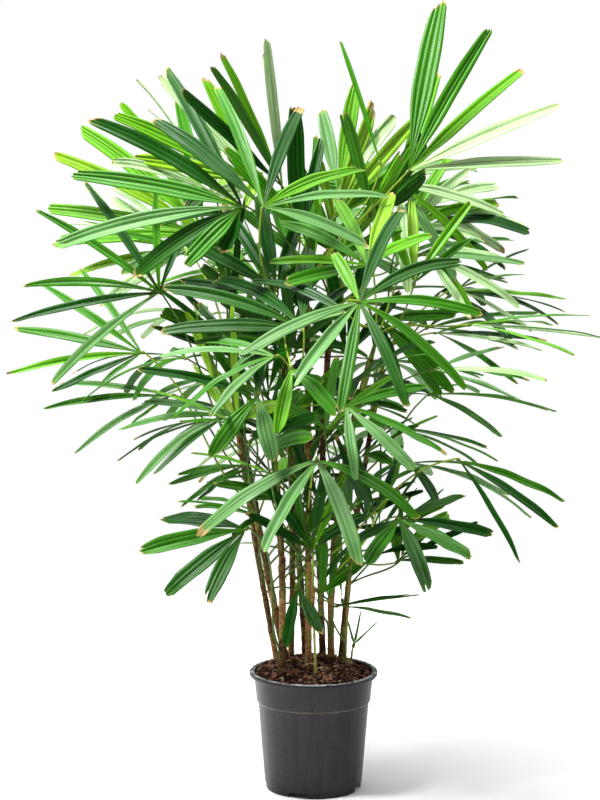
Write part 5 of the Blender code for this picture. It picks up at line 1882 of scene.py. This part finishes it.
def mix_height(x, y):
    """How high the heaped mix stands at a place: lower at the edge and the right rear, lumpy."""
    radius = math.hypot(x, y)
    heap = 0.0095 * math.exp(-((x + 0.004) ** 2 + (y - 0.028) ** 2) / 0.0030)
    edge = 0.0085 * max(0.0, (radius - 0.070) / 0.034) ** 1.4
    hollow = 0.010 * math.exp(-((x - 0.082) ** 2 + (y - 0.045) ** 2) / 0.0009)
    lumps = 0.0030 * noise.noise(Vector((x * 95, y * 95, 1.7)))
    lumps += 0.0016 * noise.noise(Vector((x * 260, y * 260, 4.1)))
    return SOIL_TOP + 0.0020 + heap - edge - hollow + lumps


def build_mix_body(finish):
    """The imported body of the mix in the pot, with an uneven top."""
    foot = list(soil_profile()[:-2])
    rings = [(radius, None) for radius in np.linspace(foot[-1][0] - 0.0006, 0.006, MIX_RINGS)]
    verts = [Vector((0.0, 0.0, foot[0][1]))]
    for radius, height in foot[1:] + rings:
        for index in range(MIX_SIDES):
            place = compass(360.0 * index / MIX_SIDES) * radius
            place.z = mix_height(place.x, place.y) if height is None else height
            verts.append(place)
    verts.append(Vector((0.0, 0.0, mix_height(0.0, 0.0))))
    body = add_object("mix_body", verts, turned_faces(len(foot) - 1 + MIX_RINGS, MIX_SIDES), finish)
    body.data.shade_smooth()
    return carried(body, ["soil"])


def chip(place, sizes, rng):
    """A rough chip of bark, turned any way."""
    corners = np.array([(x, y, z) for x in (-1, 1) for y in (-1, 1) for z in (-1, 1)], dtype=np.float64)
    corners = corners * np.array(sizes) / 2
    corners *= np.array([[rng.uniform(0.55, 1.15) for _ in range(3)] for _ in range(8)])
    turn = Euler((rng.uniform(-0.5, 0.5), rng.uniform(-0.5, 0.5), rng.uniform(0, 2 * math.pi))).to_matrix()
    corners = corners @ np.array(turn).T + np.array(place)
    quads = [(0, 1, 3, 2), (4, 6, 7, 5), (0, 4, 5, 1), (2, 3, 7, 6), (0, 2, 6, 4), (1, 5, 7, 3)]
    return corners, quads


def in_cane(x, y, spare):
    """Whether a place on the mix lies in the foot of a cane."""
    return any(math.hypot(x - cane.foot[0], y - cane.foot[1]) < cane.foot_radius + spare for cane in CANES)


def scatter_chips(count):
    """Bark chips over the mix, in three shades."""
    kinds = {name: Pieces() for name in ("dark_chips", "red_chips", "tan_chips")}
    rng = random.Random(SEED + 7)
    edge = COLLAR_TOP_RADIUS - WALL - 0.004
    for _ in range(count):
        radius = edge * math.sqrt(rng.random())
        spot = compass(rng.uniform(0, 360)) * radius
        kind = rng.choices(list(kinds), CHIP_WEIGHTS)[0]
        long = rng.uniform(0.004, 0.015) if kind != "tan_chips" else rng.uniform(0.003, 0.009)
        sizes = (long, long * rng.uniform(0.35, 0.8), rng.uniform(0.0018, 0.0060))
        if in_cane(spot.x, spot.y, 0.001):
            continue
        height = mix_height(spot.x, spot.y) + rng.uniform(-0.0020, 0.0032)
        reach = COLLAR_TOP_RADIUS - WALL - long / 2 - 0.0008
        if radius > reach:
            continue
        kinds[kind].add(*chip((spot.x, spot.y, height), sizes, rng))
    return kinds


def scatter_straw():
    """Pale straw and split sheath ends at the feet of the canes."""
    straw = Pieces()
    rng = random.Random(SEED + 8)
    for cane in CANES:
        for _ in range(STRAWS_PER_CANE):
            way = compass(rng.uniform(0, 360))
            start = Vector((*cane.foot, 0.0)) + way * (cane.foot_radius + 0.0008)
            if start.xy.length > COLLAR_TOP_RADIUS - 0.02:
                continue
            start.z = mix_height(start.x, start.y) + rng.uniform(0.0, 0.022)
            lean = Vector((way.x, way.y, rng.uniform(-0.9, 0.5)))
            length = rng.uniform(0.010, 0.030)
            straw.add(*strand(start, lean, length, 0.22, rng, rng.uniform(0.0007, 0.0018)))
    for _ in range(LOOSE_STRAWS):
        spot = compass(rng.uniform(0, 360)) * (0.088 * math.sqrt(rng.random()))
        spot.z = mix_height(spot.x, spot.y) + 0.0025
        way = compass(rng.uniform(0, 360)) + UP * rng.uniform(0.0, 0.5)
        straw.add(*strand(spot, way, rng.uniform(0.006, 0.020), 0.10, rng, rng.uniform(0.0005, 0.0012)))
    return straw


# Settings that a user would change

def colour_setting(name, description, default):
    """A colour property."""
    return bpy.props.FloatVectorProperty(
        name=name, description=description, subtype="COLOR", size=3, min=0.0, max=1.0, default=default
    )


def number_setting(name, description, default, **kind):
    """A number from 0 up, with its unit or subtype."""
    return bpy.props.FloatProperty(name=name, description=description, default=default, min=0.0, **kind)


def share_setting(name, description, default):
    """A share from 0 to 1."""
    return number_setting(name, description, default, max=1.0, subtype="FACTOR")


class PalmLeafSettings(bpy.types.PropertyGroup):
    """Colours and relief of the leaflets."""
    # Partly the leaflets' own greens, partly painted light: lime, fresh and pale are lit, deep is shaded,
    # grey is a painted sheen
    lime: colour_setting("Lime", "Leaflets that the light shines through", (0.155, 0.355, 0.008))
    fresh: colour_setting("Fresh", "Bright leaflets", (0.076, 0.282, 0.002))
    mid: colour_setting("Mid", "Common leaflets", (0.026, 0.158, 0.001))
    deep: colour_setting("Deep", "Shaded leaflets", (0.003, 0.058, 0.000))
    blue: colour_setting("Blue", "Old blue-green leaflets", (0.011, 0.078, 0.003))
    grey: colour_setting("Grey", "Glossy greyish leaflets", (0.084, 0.232, 0.056))
    pale: colour_setting("Pale", "Pale leaflets", (0.360, 0.590, 0.250))
    # Partly the paler lower side, partly painted light shining through the leaflet
    underside: colour_setting("Underside", "The duller lower side", (0.085, 0.235, 0.022))
    dry: colour_setting("Dry tips", "Tan tips of the leaflets", (0.480, 0.360, 0.130))
    gloss: share_setting("Roughness", "Roughness of the leaf skin", 0.36)
    pleat: share_setting("Pleat depth", "Depth of a pleat beside the leaflet's width", 0.075)


class PalmStalkSettings(bpy.types.PropertyGroup):
    """Colours of the stalks."""
    stalk: colour_setting("Stalk", "Green stalks", (0.190, 0.290, 0.020))
    old_stalk: colour_setting("Dark stalk", "Older stalks", (0.060, 0.120, 0.016))
    knob: colour_setting("Knob", "Where the leaflets meet", (0.120, 0.190, 0.030))


class PalmCaneSettings(bpy.types.PropertyGroup):
    """Colours of the canes."""
    stem: colour_setting("Stem", "Old cane between its sheaths", (0.260, 0.240, 0.050))
    shoot: colour_setting("Shoot", "Young green cane", (0.290, 0.290, 0.055))
    sheath: colour_setting("Sheath", "Light brown fibre", (0.470, 0.245, 0.085))
    dark_sheath: colour_setting("Dark sheath", "Dark brown fibre", (0.040, 0.016, 0.009))
    straw: colour_setting("Straw", "Loose fibres and straw", (0.640, 0.460, 0.250))


class PalmPotSettings(bpy.types.PropertyGroup):
    """Finish of the pot."""
    colour: colour_setting("Plastic", "Colour of the moulded plastic", (0.0075, 0.0068, 0.0092))
    gloss: share_setting("Roughness", "Roughness of the plastic", 0.34)


class PalmMixSettings(bpy.types.PropertyGroup):
    """The bark mix in the pot."""
    dark: colour_setting("Dark bark", "Darkest chips", (0.032, 0.014, 0.009))
    red: colour_setting("Red bark", "Red-brown chips", (0.240, 0.105, 0.062))
    chips: bpy.props.IntProperty(name="Chips", description="How many chips are strewn", default=1700, min=0)


class PalmStageSettings(bpy.types.PropertyGroup):
    """The studio round the plant."""
    floor: colour_setting("Floor", "Colour of the floor", (0.96, 0.96, 0.96))
    reach: number_setting("Floor size", "Length of a side of the floor", 3.8, unit="LENGTH")
    top: number_setting("Top light", "Power of the wide light overhead", 222.0, unit="POWER")
    key: number_setting("Key light", "Power of the light from the upper left", 165.0, unit="POWER")
    fill: number_setting("Side lights", "Power of the light at each side", 10.0, unit="POWER")


# Operators

class PALM_OT_leaflets(bpy.types.Operator):
    """Make the leaflets of every frond, a piece for each tone, and their dry tips"""
    bl_idname = "palm.leaflets"
    bl_label = "Leaflets"

    def execute(self, context):
        settings = context.scene.palm_leaf
        pieces, dry, stands_for = deal_leaflets(settings.pleat)
        everything = set()
        for tone, piece in pieces.items():
            finish = leaf_finish(f"leaf_{tone}", getattr(settings, tone), settings.underside, settings.gloss)
            piece.build(f"leaflets_{tone}", finish, TONE_SLOTS[tone], sorted(stands_for[tone]))
            everything |= stands_for[tone]
        finish = plain_finish("dry_tip", *shades(settings.dry, 0.45, 1.0), 0.7, 60.0)
        dry.build("leaflet_tips", finish, "leaf_pale", sorted(everything))
        return {"FINISHED"}


class PALM_OT_stalks(bpy.types.Operator):
    """Make the stalks, the knobs where leaflets meet and the crown shafts"""
    bl_idname = "palm.stalks"
    bl_label = "Stalks"

    def execute(self, context):
        settings = context.scene.palm_stalk
        rng = random.Random(SEED + 4)
        kinds = {name: Pieces() for name in ("stalks", "old_stalks", "knobs", "crown_shafts")}
        nodes = {name: set() for name in kinds}
        for name, plan in crown():
            stalk, knob = stalk_skins(plan, rng)
            kind = "stalks" if rng.random() < 0.55 else "old_stalks"
            kinds[kind].add(*stalk)
            kinds["knobs"].add(*knob)
            nodes[kind].add(name)
            nodes["knobs"].add(name)
        for number in range(len(CANES)):
            kinds["crown_shafts"].add(*shaft_skins(number))
            nodes["crown_shafts"].add(f"tuft_{number + 1:02d}")
        shaft_colours = (scaled_colour(settings.stalk, 0.8), scaled_colour(settings.knob, 0.8))
        finishes = {
            "stalks": plain_finish("stalk_green", *shades(settings.stalk, 0.6, 1.5), 0.42, 30.0),
            "old_stalks": plain_finish("stalk_dark", *shades(settings.old_stalk, 0.6, 1.6), 0.45, 30.0),
            "knobs": plain_finish("stalk_knob", *shades(settings.knob, 0.6, 1.0), 0.5, 120.0),
            "crown_shafts": fibre_finish("shaft_fibre", *shaft_colours, 0.75, 700.0),
        }
        slots = ("leaf_bright", "leaf_deep", "leaf_pale", "cane_bark")
        for slot, (name, piece) in zip(slots, kinds.items()):
            piece.build(name, finishes[name], slot, sorted(nodes[name]))
        return {"FINISHED"}


class PALM_OT_canes(bpy.types.Operator):
    """Make the canes with their rings, fibrous sheaths and loose fibres"""
    bl_idname = "palm.canes"
    bl_label = "Canes"

    def execute(self, context):
        settings = context.scene.palm_cane
        kinds = dress_canes()
        shoots = [f"cane_{number + 1:02d}" for number in SHOOTS]
        others = [f"cane_{number + 1:02d}" for number in range(len(CANES)) if number not in SHOOTS]
        brown = settings.sheath
        dark = settings.dark_sheath
        stem = settings.stem
        stem_colours = (scaled_colour(dark, 1.2), stem)
        wrap_colours = (scaled_colour(dark, 0.7), scaled_colour(brown, 0.42))
        finishes = {
            "old_stems": fibre_finish("old_cane", *stem_colours, 0.7, 500.0, scaled_colour(stem, 0.8)),
            "green_stems": plain_finish("green_cane", *shades(settings.shoot, 0.55, 1.0), 0.45, 40.0),
            "sheaths": fibre_finish("sheath_fibre", *shades(brown, 0.22, 1.0), 0.9),
            "dark_sheaths": fibre_finish("dark_sheath_fibre", *wrap_colours, 0.9),
            "fibres": plain_finish("loose_fibre", *shades(brown, 0.5, 1.0), 0.85, 200.0),
        }
        for name, piece in kinds.items():
            nodes = shoots if name == "green_stems" else others
            piece.build("cane_" + name, finishes[name], "cane_bark", nodes)
        return {"FINISHED"}


class PALM_OT_pot(bpy.types.Operator):
    """Make the moulded nursery pot"""
    bl_idname = "palm.pot"
    bl_label = "Pot"

    def execute(self, context):
        settings = context.scene.palm_pot
        build_pot(pot_finish(settings.colour, settings.gloss))
        return {"FINISHED"}


class PALM_OT_mix(bpy.types.Operator):
    """Fill the pot with bark mix, chips and straw"""
    bl_idname = "palm.mix"
    bl_label = "Bark mix"

    def execute(self, context):
        settings = context.scene.palm_mix
        dark = settings.dark
        red = settings.red
        ground = (scaled_colour(dark, 0.5), scaled_colour(red, 0.5))
        build_mix_body(plain_finish("mix_ground", *ground, 0.95, 300.0))
        finishes = {
            "dark_chips": plain_finish("bark_dark", *shades(dark, 0.5, 2.0), 0.85, 260.0),
            "red_chips": plain_finish("bark_red", *shades(red, 0.45, 1.5), 0.8, 260.0),
            "tan_chips": plain_finish("bark_tan", (0.26, 0.15, 0.09), (0.60, 0.44, 0.28), 0.85, 200.0),
        }
        for name, piece in scatter_chips(settings.chips).items():
            piece.build(name, finishes[name], "bark_mix", ["soil"], smooth_faces=False)
        straw = context.scene.palm_cane.straw
        finish = plain_finish("straw", *shades(straw, 0.5, 1.0), 0.8, 150.0)
        scatter_straw().build("straw", finish, "bark_mix", ["soil"])
        return {"FINISHED"}


class PALM_OT_stage(bpy.types.Operator):
    """Set out the floor, the lights, the surroundings and the camera"""
    bl_idname = "palm.stage"
    bl_label = "Stage"

    def execute(self, context):
        settings = context.scene.palm_stage
        build_floor(settings)
        build_surroundings()
        add_light("top_light", (0.0, 1.0, 3.7), (0.0, 1.0, 0.0), 4.4, settings.top)
        add_light("key_light", (-1.3, -0.7, 3.1), (0.0, 0.0, 0.85), 0.6, settings.key)
        add_light("left_light", (-2.4, 0.4, 0.9), (0.0, 0.0, 0.4), 1.4, settings.fill)
        add_light("right_light", (2.4, 0.2, 0.9), (0.0, 0.0, 0.4), 1.4, settings.fill)
        add_camera(context)
        context.scene.view_settings.view_transform = "Standard"
        return {"FINISHED"}


def build_floor(settings):
    """A pale floor with the faintest unevenness."""
    marks = settings.reach / 2 * (2 * np.arange(FLOOR_STEPS + 1) / FLOOR_STEPS - 1)
    verts = [(x, y, 0.0) for y in marks for x in marks]
    made, tree, shader = new_finish("floor_paper", 0.8, 0.2)
    shade = mix_colour(tree, blotches(tree, 3.0, 1.0), *shades(settings.floor, 0.985, 1.0))
    feed(tree, shade, shader.inputs["Base Color"])
    add_object("studio_floor", verts, grid_quads(len(marks), len(marks)).tolist(), made)


def build_surroundings():
    """An even, near-white surround."""
    world = bpy.data.worlds.new("studio")
    world.use_nodes = True
    background = world.node_tree.nodes["Background"]
    background.inputs["Color"].default_value = (1.0, 1.0, 1.0, 1.0)
    tree = world.node_tree
    path = tree.nodes.new("ShaderNodeLightPath")
    mirrored = ranged(tree, path.outputs["Is Glossy Ray"], SURROUND_LIGHT, SURROUND_MIRRORED)
    seen = math_node(tree, "MAXIMUM", mirrored, path.outputs["Is Camera Ray"])
    tree.links.new(seen, background.inputs["Strength"])
    bpy.context.scene.world = world


def add_light(name, place, target, size, power):
    """A soft square light that looks at a point."""
    data = bpy.data.lights.new(name, "AREA")
    data.shape = "SQUARE"
    data.size = size
    data.energy = power
    light = bpy.data.objects.new(name, data)
    light.location = place
    way = Vector(target) - Vector(place)
    light.rotation_euler = way.to_track_quat("-Z", "Y").to_euler()
    bpy.context.scene.collection.objects.link(light)


def add_camera(context):
    """A camera as far away, as high and as long as the photograph's."""
    data = bpy.data.cameras.new("camera")
    data.sensor_width = SENSOR_WIDTH
    data.lens = SENSOR_WIDTH * FOCAL_PIXELS / PICTURE_HEIGHT
    camera = bpy.data.objects.new("camera", data)
    camera.location = CAMERA_PLACE
    camera.rotation_euler = (math.radians(90.0 - CAMERA_PITCH), 0.0, 0.0)
    context.scene.collection.objects.link(camera)
    context.scene.camera = camera


class PALM_PT_panel(bpy.types.Panel):
    """The palm's pieces and the settings they are made from"""
    bl_idname = "PALM_PT_panel"
    bl_label = "Potted lady palm"
    bl_space_type = "VIEW_3D"
    bl_region_type = "UI"
    bl_category = "Palm"

    def draw(self, context):
        for operator, group, _ in STEPS:
            box = self.layout.box()
            box.operator(operator.bl_idname)
            settings = getattr(context.scene, group)
            for name in settings.__annotations__:
                box.prop(settings, name)


STEPS = (
    (PALM_OT_leaflets, "palm_leaf", PalmLeafSettings),
    (PALM_OT_stalks, "palm_stalk", PalmStalkSettings),
    (PALM_OT_canes, "palm_cane", PalmCaneSettings),
    (PALM_OT_pot, "palm_pot", PalmPotSettings),
    (PALM_OT_mix, "palm_mix", PalmMixSettings),
    (PALM_OT_stage, "palm_stage", PalmStageSettings),
)


def register():
    """Make the settings, operators and panel known."""
    for operator, name, group in STEPS:
        bpy.utils.register_class(group)
        setattr(bpy.types.Scene, name, bpy.props.PointerProperty(type=group))
        bpy.utils.register_class(operator)
    bpy.utils.register_class(PALM_PT_panel)


def unregister():
    """Take the panel, operators and settings away again."""
    bpy.utils.unregister_class(PALM_PT_panel)
    for operator, name, group in reversed(STEPS):
        bpy.utils.unregister_class(operator)
        delattr(bpy.types.Scene, name)
        bpy.utils.unregister_class(group)


def main():
    """Build the palm and its stage."""
    register()
    bpy.ops.palm.leaflets()
    bpy.ops.palm.stalks()
    bpy.ops.palm.canes()
    bpy.ops.palm.pot()
    bpy.ops.palm.mix()
    bpy.ops.palm.stage()


if __name__ == "__main__":
    main()
